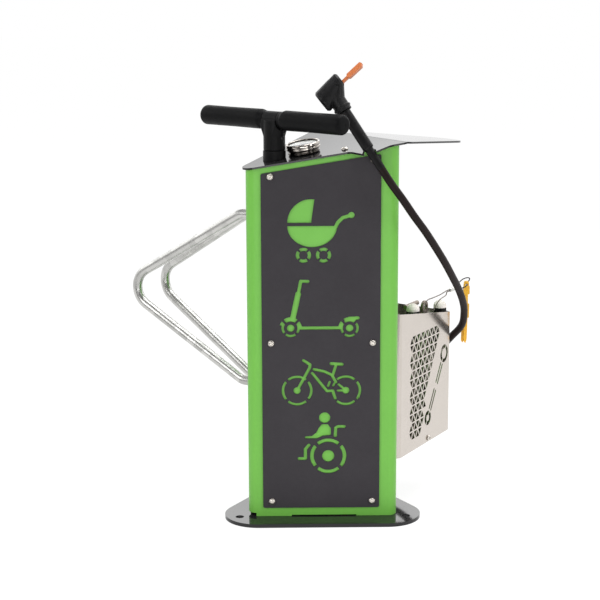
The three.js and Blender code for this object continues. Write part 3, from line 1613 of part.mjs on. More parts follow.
// Tyre lever: stepped back, hooked spoon end and a hole at the top, hanging along -Z
const tyreLeverShares = [
  [-0.45, -0.01], [-0.25, 0], [0.15, 0], [0.36, -0.02], [0.36, -0.075], [0.5, -0.08], [0.5, -0.2],
  [0.25, -0.21], [0.25, -0.355], [0.48, -0.36], [0.48, -0.58], [0.26, -0.59], [0.2, -0.93],
  [0, -1], [-0.3, -0.97], [-0.42, -0.6], [-0.5, -0.1],
];
function tyreLever() {
  const shape = new THREE.Shape();
  tyreLeverShares.forEach(([across, down], i) => {
    const x = across * tyreLeverWidth;
    const y = tyreLeverHoleInset + down * tyreLeverLength;
    if (i === 0) {
      shape.moveTo(x, y);
    } else {
      shape.lineTo(x, y);
    }
  });
  shape.closePath();
  const upright = new THREE.Matrix4().makeRotationX(Math.PI / 2);
  const half = tyreLeverThickness / 2;
  const blank = solid(raised(shape, -half, half), upright);
  const hole = bar(tyreLeverHole, -overrun, overrun, smallRoundSteps);
  return blank.subtract(solid(hole, upright));
}

// Cable sling from the ferrule down round the eye in the basket floor and back
const ferrulePoint = new THREE.Vector3(ferruleX, ferruleY, ferruleZ);
const slingLow = floorTop + tetherBossHeight / 2 + tetherHoleGap - 1.5 * seat;
const slingPlaces = [
  [286.6, 138, 447], [271, 125.5, 438.5], [258, 114, 420], [243, 105, 385], [233, 101, 340],
  [229, 100, 290], [229, 99, 210], [230, 100, 160], [230, 99.5, 147], [229.5, 97, 140],
];
const slingReturnPlaces = [
  [222.5, 71, 140], [222, 68.5, 147], [222, 68, 160], [224, 72, 210], [226, 74, 290],
  [229, 80, 370], [232, 88, 420], [239, 96.5, 442], [254.3, 110, 446.4], [272, 125, 450.5],
];
const ferruleOut = new THREE.Vector3(0.8, 0.56, 0.16).normalize();
const ferruleSide = new THREE.Vector3(0, 0, 1);

function ferruleEnd(out, side) {
  const reach = ferruleLength / 2 + seat;
  return ferrulePoint.clone()
    .addScaledVector(ferruleOut, out * reach)
    .addScaledVector(ferruleSide, (side * strandGap) / 2);
}

function slingCurve() {
  const start = ferruleEnd(-1, -1);
  const end = ferruleEnd(-1, 1);
  const lead = 3 * cableDiameter;
  const eye = new THREE.Vector3(slingPlace.x, slingPlace.y, slingLow);
  const eyeOut = new THREE.Vector3(Math.cos(tetherTurn), Math.sin(tetherTurn), 0);
  const eyeReach = tetherBossDiameter / 2 + cableDiameter;
  return new THREE.CatmullRomCurve3([
    start,
    start.clone().addScaledVector(ferruleOut, -lead),
    ...slingPlaces.map((place) => new THREE.Vector3(...place)),
    eye.clone().addScaledVector(eyeOut, eyeReach),
    eye.clone().addScaledVector(eyeOut, -eyeReach),
    ...slingReturnPlaces.map((place) => new THREE.Vector3(...place)),
    end.clone().addScaledVector(ferruleOut, -lead),
    end,
  ], false, 'centripetal');
}

// Cable loop through the tyre levers' holes
const loopPlaces = [
  [322, 166, 456], [334, 176, 458], [339.5, 184, 460.5], [340, 189, 461], [340, 195, 461],
  [340, 201, 461], [342, 208, 462], [347, 210, 466], [348, 206, 472], [342, 199, 475],
  [331, 189, 474], [318, 173, 467],
];
function loopCurve() {
  const start = ferruleEnd(1, -1);
  const end = ferruleEnd(1, 1);
  const lead = cableDiameter;
  return new THREE.CatmullRomCurve3([
    start,
    start.clone().addScaledVector(ferruleOut, lead),
    ...loopPlaces.map((place) => new THREE.Vector3(...place)),
    end.clone().addScaledVector(ferruleOut, lead),
    end,
  ], false, 'centripetal');
}

// The whole station
const station = new THREE.Group();
station.add(mesh('base_plate', basePlate(), paintGloss));
station.add(mesh('post_shell', postShell(), paintGreen));
station.add(mesh('deck_plate', roofPlate(), paintGloss));

frontWall.add(mesh('front_panel', frontPanel(), paintDark));
panelScrewPlaces.forEach(([x, y], i) => {
  const screw = buttonScrew(screwHead, screwHeadHeight, screwShank, panelScrewLength, screwSocket);
  const made = mesh(`panel_screw_${i + 1}`, screw, brightSteel);
  made.position.set(x, y, 2 * seat + panelThickness);
  frontWall.add(made);
});
station.add(frontWall);

deckScrewPlaces.forEach((place, i) => {
  const frame = deckFrame(...planFrom(place));
  const screw = buttonScrew(screwHead, screwHeadHeight, screwShank, deckScrewLength, screwSocket);
  const made = mesh(`deck_screw_${i + 1}`, screw, brightSteel);
  made.position.set(0, 0, seat);
  frame.add(made);
  station.add(frame);
});

const pump = new THREE.Group();
pump.position.set(pumpX, pumpY, 0);
pump.add(mesh('pump_barrel', pumpBarrel(), brightSteel));
pump.add(mesh('foot_valve', footValve(), brassMetal));
pump.add(mesh('rod_bush', rodBush(), brassMetal));
pump.add(mesh('pump_piston', piston(), zincSteel));
pump.add(mesh('piston_seal', pistonSeal(), blackRubber));
pump.add(mesh('pump_rod', pumpRod(), chromeMetal));
station.add(pump);
station.add(mesh('pump_bracket', pumpBracket(), zincSteel));
station.add(mesh('deck_collar', deckCollar(), blackPlastic));

const handle = new THREE.Group();
handle.position.set(pumpX, pumpY, 0);
handle.rotation.z = handleTurn;
handle.add(mesh('handle_hub', handleHub(), blackPlastic));
handle.add(mesh('handle_core', handleCore(), zincSteel));
handle.add(mesh('grip_right', grip(1, gripRightEnd), blackRubber));
handle.add(mesh('grip_left', grip(-1, gripLeftEnd), blackRubber));
station.add(handle);

const gauge = deckFrame(gaugeX, gaugeY);
gauge.add(mesh('gauge_case', gaugeCase(), chromeMetal));
gauge.add(mesh('gauge_bezel', gaugeBezel(), chromeMetal));
gauge.add(mesh('gauge_dial', gaugeDial(), dialWhite));
gauge.add(mesh('gauge_glass', gaugeGlass(), clearGlass));
const needle = mesh('gauge_needle', gaugeNeedle(), needleBlack);
needle.rotation.z = needleRest;
gauge.add(needle);
station.add(gauge);

const gland = mesh('hose_gland', hoseGland(), brassMetal);
gland.position.set(glandAlong, glandHeight, 0);
basketWall.add(gland);
basketScrewPlaces.forEach(([x, y], i) => {
  const screw = buttonScrew(screwHead, screwHeadHeight, screwShank, basketScrewLength, screwSocket);
  const made = mesh(`basket_screw_${i + 1}`, screw, brightSteel);
  made.position.set(x, y, basketSheet + 2 * seat);
  basketWall.add(made);
});
station.add(basketWall);
station.add(mesh('outlet_pipe', outletPipe(), brassMetal));
station.add(mesh('gauge_pipe', gaugePipe(), brassMetal));

station.add(mesh('hose', solid(tube(hoseCurve(), hoseDiameter, hoseSides, hoseSteps)), blackRubber));
neckFrame.add(mesh('hose_sleeve', hoseSleeve(), blackRubber));
station.add(neckFrame);
headFrame.add(mesh('pump_head', pumpHead(), blackPlastic));
headFrame.add(mesh('head_seal', headSeal(), blackRubber));
const lever = mesh('head_lever', headLever(), orangePlastic);
lever.position.set(leverPinReach, 0, leverPinRise);
lever.rotation.y = -leverRest;
headFrame.add(lever);
const pin = mesh('lever_pin', leverPin(), chromeMetal);
pin.position.set(leverPinReach, 0, leverPinRise);
headFrame.add(pin);
station.add(headFrame);

holderWall.add(mesh('holder_tube_near', holderTube(holderNearAlong, 0), zincSteel));
holderWall.add(mesh('holder_tube_far', holderTube(holderFarAlong, holderFarSplay), zincSteel));
station.add(holderWall);

station.add(mesh('basket_wall', basketWallSheet(), brightSteel));
station.add(mesh('basket_floor', basketFloor(), brightSteel));
[nearSide, farSide].forEach((frame, i) => {
  const screw = buttonScrew(
    floorScrewHead, floorScrewHeadHeight, floorScrewShank, floorScrewLength, screwSocket,
  );
  const made = mesh(`floor_screw_${i + 1}`, screw, brightSteel);
  made.position.set(frame === nearSide ? floorScrewAlong : -floorScrewAlong, floorScrewHeight, 2 * seat);
  frame.add(made);
  station.add(frame);
});

driverPlaces.forEach((place, i) => {
  const spot = new THREE.Group();
  spot.position.set(place.x, place.y, 0);
  spot.add(mesh(`screwdriver_grip_${i + 1}`, driverGrip(place), palePlastic));
  spot.add(mesh(`screwdriver_blade_${i + 1}`, driverBlade(place), zincSteel));
  station.add(spot);
});

const spannerMesh = mesh('spanner', spanner(), chromeMetal);
spannerMesh.rotation.set(Math.PI / 2, 0, 60 * degree, 'ZYX');
spannerMesh.position.set(spannerX, spannerY, spannerTop - spannerLength);
station.add(spannerMesh);
const keyMesh = mesh('hex_key', hexKey(), zincSteel);
keyMesh.position.set(hexKeyX, hexKeyY, 0);
keyMesh.rotation.z = 60 * degree;
station.add(keyMesh);

[-1, 1].forEach((side, i) => {
  const made = mesh(`tyre_lever_${i + 1}`, tyreLever(), yellowPlastic);
  const shift = (side * (tyreLeverThickness + seat)) / 2;
  made.position.set(tyreLeverX, tyreLeverY + shift, tyreLeverTop - tyreLeverHoleInset);
  made.rotation.y = tyreLeverLean + side * tyreLeverSpread;
  station.add(made);
});
station.add(mesh('lever_loop', solid(tube(loopCurve(), cableDiameter, cableSides, loopSteps)), blackRubber));
station.add(mesh('sling_cable', solid(tube(slingCurve(), cableDiameter, cableSides, slingSteps)), zincSteel));
const ferrule = mesh('ferrule', solid(bar(ferruleDiameter, -ferruleLength / 2, ferruleLength / 2)), zincSteel);
ferrule.quaternion.setFromUnitVectors(new THREE.Vector3(0, 0, 1), ferruleOut);
ferrule.position.copy(ferrulePoint);
station.add(ferrule);

export default station;
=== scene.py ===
import json
import math

import bmesh
import bpy
from mathutils import Matrix, Quaternion, Vector

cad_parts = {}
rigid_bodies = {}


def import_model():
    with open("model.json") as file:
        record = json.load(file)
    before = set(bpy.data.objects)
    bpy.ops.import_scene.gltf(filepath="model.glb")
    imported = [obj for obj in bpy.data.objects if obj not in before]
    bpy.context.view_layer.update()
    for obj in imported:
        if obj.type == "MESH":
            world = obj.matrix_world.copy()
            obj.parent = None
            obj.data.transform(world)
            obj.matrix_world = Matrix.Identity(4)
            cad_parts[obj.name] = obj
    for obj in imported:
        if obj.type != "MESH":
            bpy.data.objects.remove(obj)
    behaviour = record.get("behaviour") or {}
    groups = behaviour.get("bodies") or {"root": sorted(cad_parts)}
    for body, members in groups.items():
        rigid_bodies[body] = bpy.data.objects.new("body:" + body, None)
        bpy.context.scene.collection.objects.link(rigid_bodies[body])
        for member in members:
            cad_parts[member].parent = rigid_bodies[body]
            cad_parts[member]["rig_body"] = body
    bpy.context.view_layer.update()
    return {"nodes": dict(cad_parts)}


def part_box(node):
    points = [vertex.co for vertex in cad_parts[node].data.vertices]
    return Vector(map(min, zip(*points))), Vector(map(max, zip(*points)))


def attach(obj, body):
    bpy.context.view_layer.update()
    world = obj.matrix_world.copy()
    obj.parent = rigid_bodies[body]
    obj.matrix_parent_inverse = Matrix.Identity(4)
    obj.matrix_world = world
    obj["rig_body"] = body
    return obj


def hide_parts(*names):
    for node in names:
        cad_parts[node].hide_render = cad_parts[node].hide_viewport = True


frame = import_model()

MM = 0.001
WELD = 0.01 * MM
FLAT_ANGLE = math.radians(0.4)
BLUNT_ANGLE = math.radians(155)
EASE_SHARE = 0.45
EASE_STEPS = 4

# Camera
CAMERA_PLACE = Vector((-0.0888, -3.2940, 1.1377))
CAMERA_YAW = math.radians(0.7346)
CAMERA_PITCH = math.radians(11.531)
CAMERA_ROLL = math.radians(-0.2032)
CAMERA_LENS = 92.68
SENSOR_WIDTH = 36

# Post, roof and wall planes
POST_REACH = 101.036 * MM
DECK_CENTRE = 800.5 * MM
DECK_SLOPE = 0.185
FALL = Vector((math.cos(math.radians(30)), math.sin(math.radians(30)), 0))
DECK_NORMAL = Vector((-DECK_SLOPE * FALL.x, -DECK_SLOPE * FALL.y, 1)).normalized()
SEAT = 0.3 * MM

# Pump, gauge and head places
PUMP_AXIS = Vector((-100 * MM, -58 * MM, 0))
HANDLE_TURN = math.radians(-44)
GAUGE_SPOT = (-37 * MM, -43 * MM)
REST_SPOT = (96 * MM, -126 * MM)
NECK_PLACE = Vector((22.3, -88, 917)) * MM
SLEEVE_FROM = 44.3 * MM
SLEEVE_STEP = 134.8 * MM
SLEEVE_END = 186.3 * MM
SLEEVE_THICK = 12 * MM
SLEEVE_THIN = 9 * MM

# Hose and cables
HOSE_DIAMETER = 16.5 * MM
GLAND_SPOT = (60 * MM, 75 * MM)
GLAND_LENGTH = 24 * MM
CABLE_DIAMETER = 2.6 * MM
FERRULE_PLACE = Vector((301, 151, 457)) * MM
FERRULE_OUT = Vector((0.8, 0.56, 0.16)).normalized()
FERRULE_LENGTH = 13 * MM
FERRULE_DIAMETER = 9 * MM
STRAND_GAP = 3.4 * MM
HOSE_POINTS = [
    (140, 157, 79), (172, 180, 92), (200, 199, 115), (226, 213, 147), (243, 220, 180),
    (252, 221, 214), (259, 218, 249), (269, 211, 282), (285, 200, 311), (305.6, 182, 340.5),
    (325.3, 155, 373), (326.7, 124, 410.3), (320.5, 96, 439), (305.4, 54, 476), (283.4, 6, 518),
    (265.1, -29, 551), (244.5, -62, 585), (215.5, -100, 630), (187, -129, 670), (164.7, -142, 703),
]
SLING_POINTS = [
    (286.6, 138, 447), (271, 125.5, 438.5), (258, 114, 420), (243, 105, 385), (233, 101, 340),
    (229, 100, 290), (229, 99, 210), (230, 100, 160), (230, 99.5, 147), (229.5, 97, 140),
]
SLING_EYE = Vector((226, 84, 137.35)) * MM
SLING_EYE_TURN = math.radians(75)
SLING_EYE_REACH = 8.6 * MM
SLING_RETURN_POINTS = [
    (222.5, 71, 140), (222, 68.5, 147), (222, 68, 160), (224, 72, 210), (226, 74, 290),
    (229, 80, 370), (232, 88, 420), (239, 96.5, 442), (254.3, 110, 446.4), (272, 125, 450.5),
]
LOOP_POINTS = [
    (322, 166, 456), (334, 176, 458), (339.5, 184, 460.5), (340, 189, 461), (340, 195, 461),
    (340, 201, 461), (342, 208, 462), (347, 210, 466), (348, 206, 472), (342, 199, 475),
    (331, 189, 474), (318, 173, 467),
]


def in_scene(name, data):
    item = bpy.data.objects.new(name, data)
    bpy.context.scene.collection.objects.link(item)
    return item


def make_camera():
    forward = Vector((
        math.sin(CAMERA_YAW) * math.cos(CAMERA_PITCH),
        math.cos(CAMERA_YAW) * math.cos(CAMERA_PITCH),
        -math.sin(CAMERA_PITCH),
    ))
    right = forward.cross(Vector((0, 0, 1))).normalized()
    up = right.cross(forward)
    across = math.cos(CAMERA_ROLL) * right + math.sin(CAMERA_ROLL) * up
    upward = math.cos(CAMERA_ROLL) * up - math.sin(CAMERA_ROLL) * right
    data = bpy.data.cameras.new("camera")
    data.lens = CAMERA_LENS
    data.sensor_width = SENSOR_WIDTH
    camera = in_scene("camera", data)
    turn = Matrix((across, upward, -forward)).transposed().to_4x4()
    camera.matrix_world = Matrix.Translation(CAMERA_PLACE) @ turn
    bpy.context.scene.camera = camera


make_camera()


# Frames of the part
def deck_height(x, y):
    return DECK_CENTRE + DECK_SLOPE * (x * FALL.x + y * FALL.y)


def aimed(place, direction):
    turn = Vector((0, 0, 1)).rotation_difference(direction)
    return Matrix.Translation(place) @ turn.to_matrix().to_4x4()


def deck_frame(x, y):
    return aimed(Vector((x, y, deck_height(x, y))), DECK_NORMAL)


def wall_frame(turn, reach):
    along = Vector((math.cos(turn), math.sin(turn), 0))
    outward = Vector((math.sin(turn), -math.cos(turn), 0))
    basis = Matrix((along, Vector((0, 0, 1)), outward)).transposed().to_4x4()
    return Matrix.Translation(outward * reach) @ basis


FRONT_WALL = wall_frame(0, POST_REACH)
BASKET_WALL = wall_frame(math.radians(120), POST_REACH)
REST_PLACE = Vector((*REST_SPOT, deck_height(*REST_SPOT)))
NECK_DOWN = (REST_PLACE - NECK_PLACE).normalized()
NECK_FRAME = aimed(NECK_PLACE, NECK_DOWN)
CORE_LOW, CORE_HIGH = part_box("handle_core")
HANDLE_HEIGHT = (CORE_LOW.z + CORE_HIGH.z) / 2
HANDLE_FRAME = (
    Matrix.Translation(PUMP_AXIS + Vector((0, 0, HANDLE_HEIGHT)))
    @ Matrix.Rotation(HANDLE_TURN, 4, "Z") @ Matrix.Rotation(math.pi / 2, 4, "Y")
)
GAUGE_FRAME = deck_frame(*GAUGE_SPOT)


# Shader building: colours as screen values, and nodes placed by name
def linear(red, green, blue):
    def one(value):
        share = value / 255
        return share / 12.92 if share <= 0.04045 else ((share + 0.055) / 1.055) ** 2.4
    return (one(red), one(green), one(blue), 1)


class Sheet:
    """Nodes of one tree, placed and wired by name."""

    def __init__(self, tree):
        self.tree = tree

    def add(self, kind, inputs=None, **settings):
        node = self.tree.nodes.new(kind)
        for key, value in settings.items():
            setattr(node, key, value)
        for key, value in (inputs or {}).items():
            self.give(node, key, value)
        return node

    def give(self, node, key, value):
        socket = node.inputs[key]
        if isinstance(value, bpy.types.NodeSocket):
            self.tree.links.new(value, socket)
        else:
            socket.default_value = value

    def math(self, operation, first, second, clamp=False):
        node = self.add("ShaderNodeMath", {0: first, 1: second}, operation=operation)
        node.use_clamp = clamp
        return node.outputs[0]

    def span(self, value, low, high, to_low=0.0, to_high=1.0):
        inputs = {"Value": value, "From Min": low, "From Max": high}
        inputs.update({"To Min": to_low, "To Max": to_high})
        return self.add("ShaderNodeMapRange", inputs).outputs["Result"]

    def mix(self, kind, sockets, values, result):
        node = self.add("ShaderNodeMix", data_type=kind)
        for socket, value in zip(sockets, values):
            self.give(node, socket, value)
        return node.outputs[result]

    def blend(self, share, first, second):
        """Colour between two others."""
        return self.mix("RGBA", (0, 6, 7), (share, first, second), 2)

    def between(self, share, first, second):
        """Number between two others."""
        return self.mix("FLOAT", (0, 2, 3), (share, first, second), 0)

    def place(self):
        return self.add("ShaderNodeTexCoord").outputs["Object"]

    def noise(self, scale, detail, place):
        inputs = {"Vector": place, "Scale": scale, "Detail": detail}
        return self.add("ShaderNodeTexNoise", inputs).outputs["Fac"]

    def cells(self, scale, place):
        return self.add("ShaderNodeTexVoronoi", {"Vector": place, "Scale": scale}).outputs


PLAIN = (1.0, 1.0, 1.0, 1.0)
SOCKET_KINDS = {1: "NodeSocketFloat", 3: "NodeSocketVector", 4: "NodeSocketColor"}


def effect(name, inputs, **outputs):
    """Empty node group and its ends: inputs go by their values, outputs by how many numbers each has."""
    tree = bpy.data.node_groups.new(name, "ShaderNodeTree")
    for label, value in inputs.items():
        kind = SOCKET_KINDS[len(value) if isinstance(value, tuple) else 1]
        socket = tree.interface.new_socket(name=label, in_out="INPUT", socket_type=kind)
        socket.default_value = value
    for label, size in outputs.items():
        tree.interface.new_socket(name=label, in_out="OUTPUT", socket_type=SOCKET_KINDS[size])
    sheet = Sheet(tree)
    return sheet, sheet.add("NodeGroupInput").outputs, sheet.add("NodeGroupOutput")


def mottle_effect():
    """Slow drift between two shades of one colour."""
    sheet, given, made = effect(
        "mottled colour", {"Colour": PLAIN, "Shade": PLAIN, "Scale": 20.0, "Share": 0.5},
        Colour=4, Mask=1,
    )
    place = sheet.place()
    broad = sheet.noise(given["Scale"], 4.0, place)
    fine = sheet.noise(sheet.math("MULTIPLY", given["Scale"], 9.0), 2.0, place)
    both = sheet.math("ADD", sheet.math("MULTIPLY", broad, 0.7), sheet.math("MULTIPLY", fine, 0.3))
    mask = sheet.span(both, 0.38, 0.62)
    share = sheet.math("MULTIPLY", mask, given["Share"])
    sheet.give(made, "Colour", sheet.blend(share, given["Colour"], given["Shade"]))
    sheet.give(made, "Mask", mask)
    return sheet.tree


def grain_effect():
    """Fine moulded or sprayed grain as a height."""
    sheet, given, made = effect("fine grain", {"Scale": 900.0}, Height=1)
    place = sheet.place()
    small = sheet.noise(given["Scale"], 2.0, place)
    pits = sheet.cells(given["Scale"], place)["Distance"]
    sheet.give(made, "Height", sheet.math("ADD", small, sheet.math("MULTIPLY", pits, 0.5)))
    return sheet.tree


def dust_effect():
    """Thin dust where a face looks up."""
    sheet, given, made = effect(
        "settled dust", {"Colour": PLAIN, "Dust": PLAIN, "Amount": 0.1}, Colour=4,
    )
    normal = sheet.add("ShaderNodeNewGeometry").outputs["Normal"]
    parts = sheet.add("ShaderNodeSeparateXYZ", {"Vector": normal})
    facing = sheet.span(parts.outputs["Z"], 0.3, 1.0)
    place = sheet.place()
    patches = sheet.span(sheet.noise(24.0, 5.0, place), 0.35, 0.75)
    mask = sheet.math("MULTIPLY", sheet.math("MULTIPLY", facing, patches), given["Amount"], True)
    sheet.give(made, "Colour", sheet.blend(mask, given["Colour"], given["Dust"]))
    return sheet.tree


def wear_effect():
    """Rubbed edges, from how sharply the surface turns."""
    sheet, given, made = effect(
        "rubbed edge", {"Colour": PLAIN, "Rubbed": PLAIN, "Amount": 0.3}, Colour=4,
    )
    turn = sheet.add("ShaderNodeNewGeometry").outputs["Pointiness"]
    edge = sheet.span(turn, 0.52, 0.62)
    place = sheet.place()
    broken = sheet.span(sheet.noise(140.0, 4.0, place), 0.4, 0.6)
    mask = sheet.math("MULTIPLY", sheet.math("MULTIPLY", edge, broken), given["Amount"], True)
    sheet.give(made, "Colour", sheet.blend(mask, given["Colour"], given["Rubbed"]))
    return sheet.tree


def drawn_effect():
    """Fine drawn or brushed lines in one direction."""
    sheet, given, made = effect("drawn lines", {"Stretch": (400.0, 400.0, 8.0)}, Value=1, Height=1)
    place = sheet.place()
    pulled = sheet.add(
        "ShaderNodeVectorMath", {0: place, 1: given["Stretch"]}, operation="MULTIPLY",
    ).outputs[0]
    lines = sheet.noise(1.0, 4.0, pulled)
    sheet.give(made, "Value", sheet.span(lines, 0.3, 0.7))
    sheet.give(made, "Height", lines)
    return sheet.tree


def spangle_effect():
    """Frosty patches of a dipped zinc coat."""
    sheet, given, made = effect(
        "zinc spangle", {"Colour": PLAIN, "Shade": PLAIN, "Scale": 90.0}, Colour=4, Mask=1,
    )
    place = sheet.place()
    patches = sheet.cells(given["Scale"], place)["Color"]
    parts = sheet.add("ShaderNodeSeparateXYZ", {"Vector": patches})
    mask = sheet.math("ADD", sheet.math("MULTIPLY", parts.outputs["X"], 0.6),
                      sheet.math("MULTIPLY", sheet.noise(30.0, 4.0, place), 0.5), True)
    sheet.give(made, "Colour", sheet.blend(mask, given["Colour"], given["Shade"]))
    sheet.give(made, "Mask", mask)
    return sheet.tree


MOTTLE = mottle_effect()
GRAIN = grain_effect()
DUST = dust_effect()
WEAR = wear_effect()
DRAWN = drawn_effect()
SPANGLE = spangle_effect()
DUST_TONE = linear(186, 180, 168)
COAT_RELIEF = 0.2 * MM
MOULD_RELIEF = 0.15 * MM
METAL_RELIEF = 0.05 * MM


class Finish:
    """One material and its slot, with a shader built up from the effects above."""

    def __init__(self, name, slot, **constants):
        self.slot = slot
        self.material = bpy.data.materials.new(name)
        self.material.use_nodes = True
        self.sheet = Sheet(self.material.node_tree)
        self.shader = self.material.node_tree.nodes["Principled BSDF"]
        for label, value in constants.items():
            self.shader.inputs[label.replace("_", " ")].default_value = value

    def place(self, group, **inputs):
        node = self.sheet.add("ShaderNodeGroup", node_tree=group)
        for label, value in inputs.items():
            self.sheet.give(node, label, value)
        return node.outputs

    def surface(self, colour, mask, rough):
        """Colour, and a roughness that runs from one value to another with a mask."""
        self.sheet.give(self.shader, "Base Color", colour)
        self.sheet.give(self.shader, "Roughness", self.sheet.span(mask, 0.0, 1.0, *rough))

    def bump(self, height, strength, distance):
        inputs = {"Height": height, "Strength": strength, "Distance": distance}
        node = self.sheet.add("ShaderNodeBump", inputs)
        self.sheet.give(self.shader, "Normal", node.outputs["Normal"])

    def toned(self, group, tone, shade, **inputs):
        """Outputs of an effect that drifts between two screen colours."""
        return self.place(group, Colour=linear(*tone), Shade=linear(*shade), **inputs)

    def grained(self, scale, strength, distance):
        self.bump(self.place(GRAIN, Scale=scale)["Height"], strength, distance)


def paint(name, slot, tone, shade, rough, grain, depth, dust=0.06, **constants):
    """Sprayed or powder-coated metal."""
    finish = Finish(name, slot, **constants)
    base = finish.toned(MOTTLE, tone, shade, Scale=14.0, Share=0.5)
    worn = finish.place(WEAR, Colour=base["Colour"], Rubbed=linear(*shade), Amount=0.5)
    dusty = finish.place(DUST, Colour=worn["Colour"], Dust=DUST_TONE, Amount=dust)
    finish.surface(dusty["Colour"], base["Mask"], rough)
    finish.grained(grain, depth, COAT_RELIEF)
    return finish


def moulded(name, slot, tone, shade, rough, grain, depth, dust=0.05, **constants):
    """Moulded plastic or rubber with a fine grain."""
    finish = Finish(name, slot, **constants)
    base = finish.toned(MOTTLE, tone, shade, Scale=30.0, Share=0.6)
    dusty = finish.place(DUST, Colour=base["Colour"], Dust=DUST_TONE, Amount=dust)
    finish.surface(dusty["Colour"], base["Mask"], rough)
    finish.grained(grain, depth, MOULD_RELIEF)
    return finish


def metal(name, slot, tone, shade, rough, stretch, depth, **constants):
    """Bare metal with drawn or brushed lines."""
    finish = Finish(name, slot, **{"Metallic": 1.0, **constants})
    base = finish.toned(MOTTLE, tone, shade, Scale=25.0, Share=0.6)
    lines = finish.place(DRAWN, Stretch=stretch)
    finish.surface(base["Colour"], lines["Value"], rough)
    finish.bump(lines["Height"], depth, METAL_RELIEF)
    return finish


def zinc_coat(name, slot, tone, shade, rough):
    """Dipped zinc on steel tube."""
    finish = Finish(name, slot, Metallic=1.0)
    base = finish.toned(SPANGLE, tone, shade, Scale=42.0)
    finish.surface(base["Colour"], base["Mask"], rough)
    finish.grained(60.0, 0.006, COAT_RELIEF)
    return finish


GREEN_PAINT = paint("green satin paint", "green_paint", (110, 180, 71), (105, 174, 68), (0.34, 0.42),
                    700.0, 0.04, Specular_IOR_Level=0.35)
PANEL_PAINT = paint("dark matt paint", "panel_paint", (51, 48, 52), (47, 44, 48), (0.46, 0.56),
                    1100.0, 0.10, 0.03, Specular_IOR_Level=0.25)
PLATE_PAINT = paint("dark gloss paint", "roof_paint", (36, 36, 37), (40, 40, 41), (0.06, 0.075),
                    500.0, 0.006, 0.01, IOR=1.5, Specular_IOR_Level=0.3)
STAINLESS = metal("brushed stainless sheet", "stainless", (204, 196, 188), (200, 192, 184),
                  (0.16, 0.19), (900.0, 900.0, 14.0), 0.006, Metallic=0.86)
SCREW_STEEL = metal("turned stainless", "stainless", (214, 208, 200), (190, 184, 176),
                    (0.20, 0.32), (500.0, 500.0, 500.0), 0.03)
ZINC = metal("bright zinc", "zinc", (236, 236, 232), (214, 215, 211), (0.24, 0.38),
             (300.0, 300.0, 40.0), 0.05)
ZINC_DIP = zinc_coat("dipped zinc", "zinc", (216, 215, 212), (174, 174, 171), (0.27, 0.36))
CABLE_STEEL = metal("cable steel", "zinc", (150, 142, 136), (118, 108, 104), (0.28, 0.42),
                    (300.0, 300.0, 300.0), 0.04)
CHROME = metal("polished chrome", "chrome", (186, 180, 173), (174, 168, 161), (0.06, 0.12),
               (200.0, 200.0, 200.0), 0.01)
# Gauge case: chrome whose base colour is darkened to paint in the dark reflections round it (painted
# reflection)
CHROME_DARKENED_BY_PAINTED_REFLECTION = metal("chrome darkened by painted reflection", "chrome", (104, 99, 94), (88, 84, 80), (0.06, 0.12),
                    (200.0, 200.0, 200.0), 0.01)
TOOL_STEEL = metal("worn tool steel", "zinc", (168, 156, 146), (134, 124, 116), (0.42, 0.56),
                   (300.0, 300.0, 60.0), 0.06)
BRASS = metal("turned brass", "brass", (200, 168, 92), (168, 136, 72), (0.22, 0.36),
              (400.0, 400.0, 400.0), 0.04)
GRIP_RUBBER = moulded("grip rubber", "black_rubber", (13, 13, 14), (18, 18, 19), (0.40, 0.54),
                      1600.0, 0.10, 0.004, Specular_IOR_Level=0.08)
HOSE_RUBBER = moulded("hose rubber", "black_rubber", (30, 23, 22), (38, 30, 29), (0.34, 0.50),
                      900.0, 0.10, 0.006, Specular_IOR_Level=0.1)
SLEEVE_RUBBER = moulded("sleeve rubber", "black_rubber", (19, 18, 19), (25, 24, 25), (0.32, 0.46),
                        1200.0, 0.08, 0.006, Specular_IOR_Level=0.2)
HUB_PLASTIC = moulded("handle hub plastic", "black_plastic", (14, 14, 15), (19, 19, 20), (0.36, 0.48),
                      1500.0, 0.08, 0.004, Specular_IOR_Level=0.12)
BLACK_PLASTIC = moulded("black moulded plastic", "black_plastic", (19, 19, 20), (26, 26, 27),
                        (0.32, 0.46), 1500.0, 0.08, 0.01, Specular_IOR_Level=0.25)
ORANGE_PLASTIC = moulded("orange plastic", "orange_plastic", (206, 118, 66), (194, 106, 56),
                         (0.32, 0.44), 1200.0, 0.05)
YELLOW_PLASTIC = moulded("yellow plastic", "yellow_plastic", (244, 184, 28), (230, 166, 20),
                         (0.32, 0.46), 1200.0, 0.05)
PALE_PLASTIC = moulded("pale plastic", "pale_plastic", (250, 244, 238), (244, 237, 230), (0.42, 0.52),
                       1200.0, 0.04, 0.0, Specular_IOR_Level=0.25)
DIAL_PAINT = moulded("dial white", "dial_white", (255, 254, 251), (250, 249, 245), (0.40, 0.50),
                     900.0, 0.02, 0.0)
MARK_PAINT = moulded("dial marks", "needle_black", (58, 58, 60), (66, 66, 68), (0.42, 0.52),
                     900.0, 0.02, 0.0)


def clear_glass():
    finish = Finish("clear glass", "clear_glass", Transmission_Weight=1.0, IOR=1.45, Metallic=0.0)
    base = finish.toned(MOTTLE, (250, 252, 252), (244, 248, 248), Scale=40.0, Share=0.4)
    finish.surface(base["Colour"], base["Mask"], (0.01, 0.03))
    return finish


GLASS = clear_glass()


# Mesh building
def body_of(node):
    return frame["nodes"][node]["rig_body"]


def put(name, mesh, finish, node=None, smooth=32):
    """Object at the origin of the row frame, on the body of the CAD node that it stands for."""
    mesh.materials.clear()
    mesh.materials.append(finish.material)
    for face in mesh.polygons:
        face.use_smooth = True
    mesh.set_sharp_from_angle(angle=math.radians(smooth))
    piece = in_scene(name, mesh)
    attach(piece, body_of(node) if node else "station")
    if node:
        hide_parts(node)
    return piece


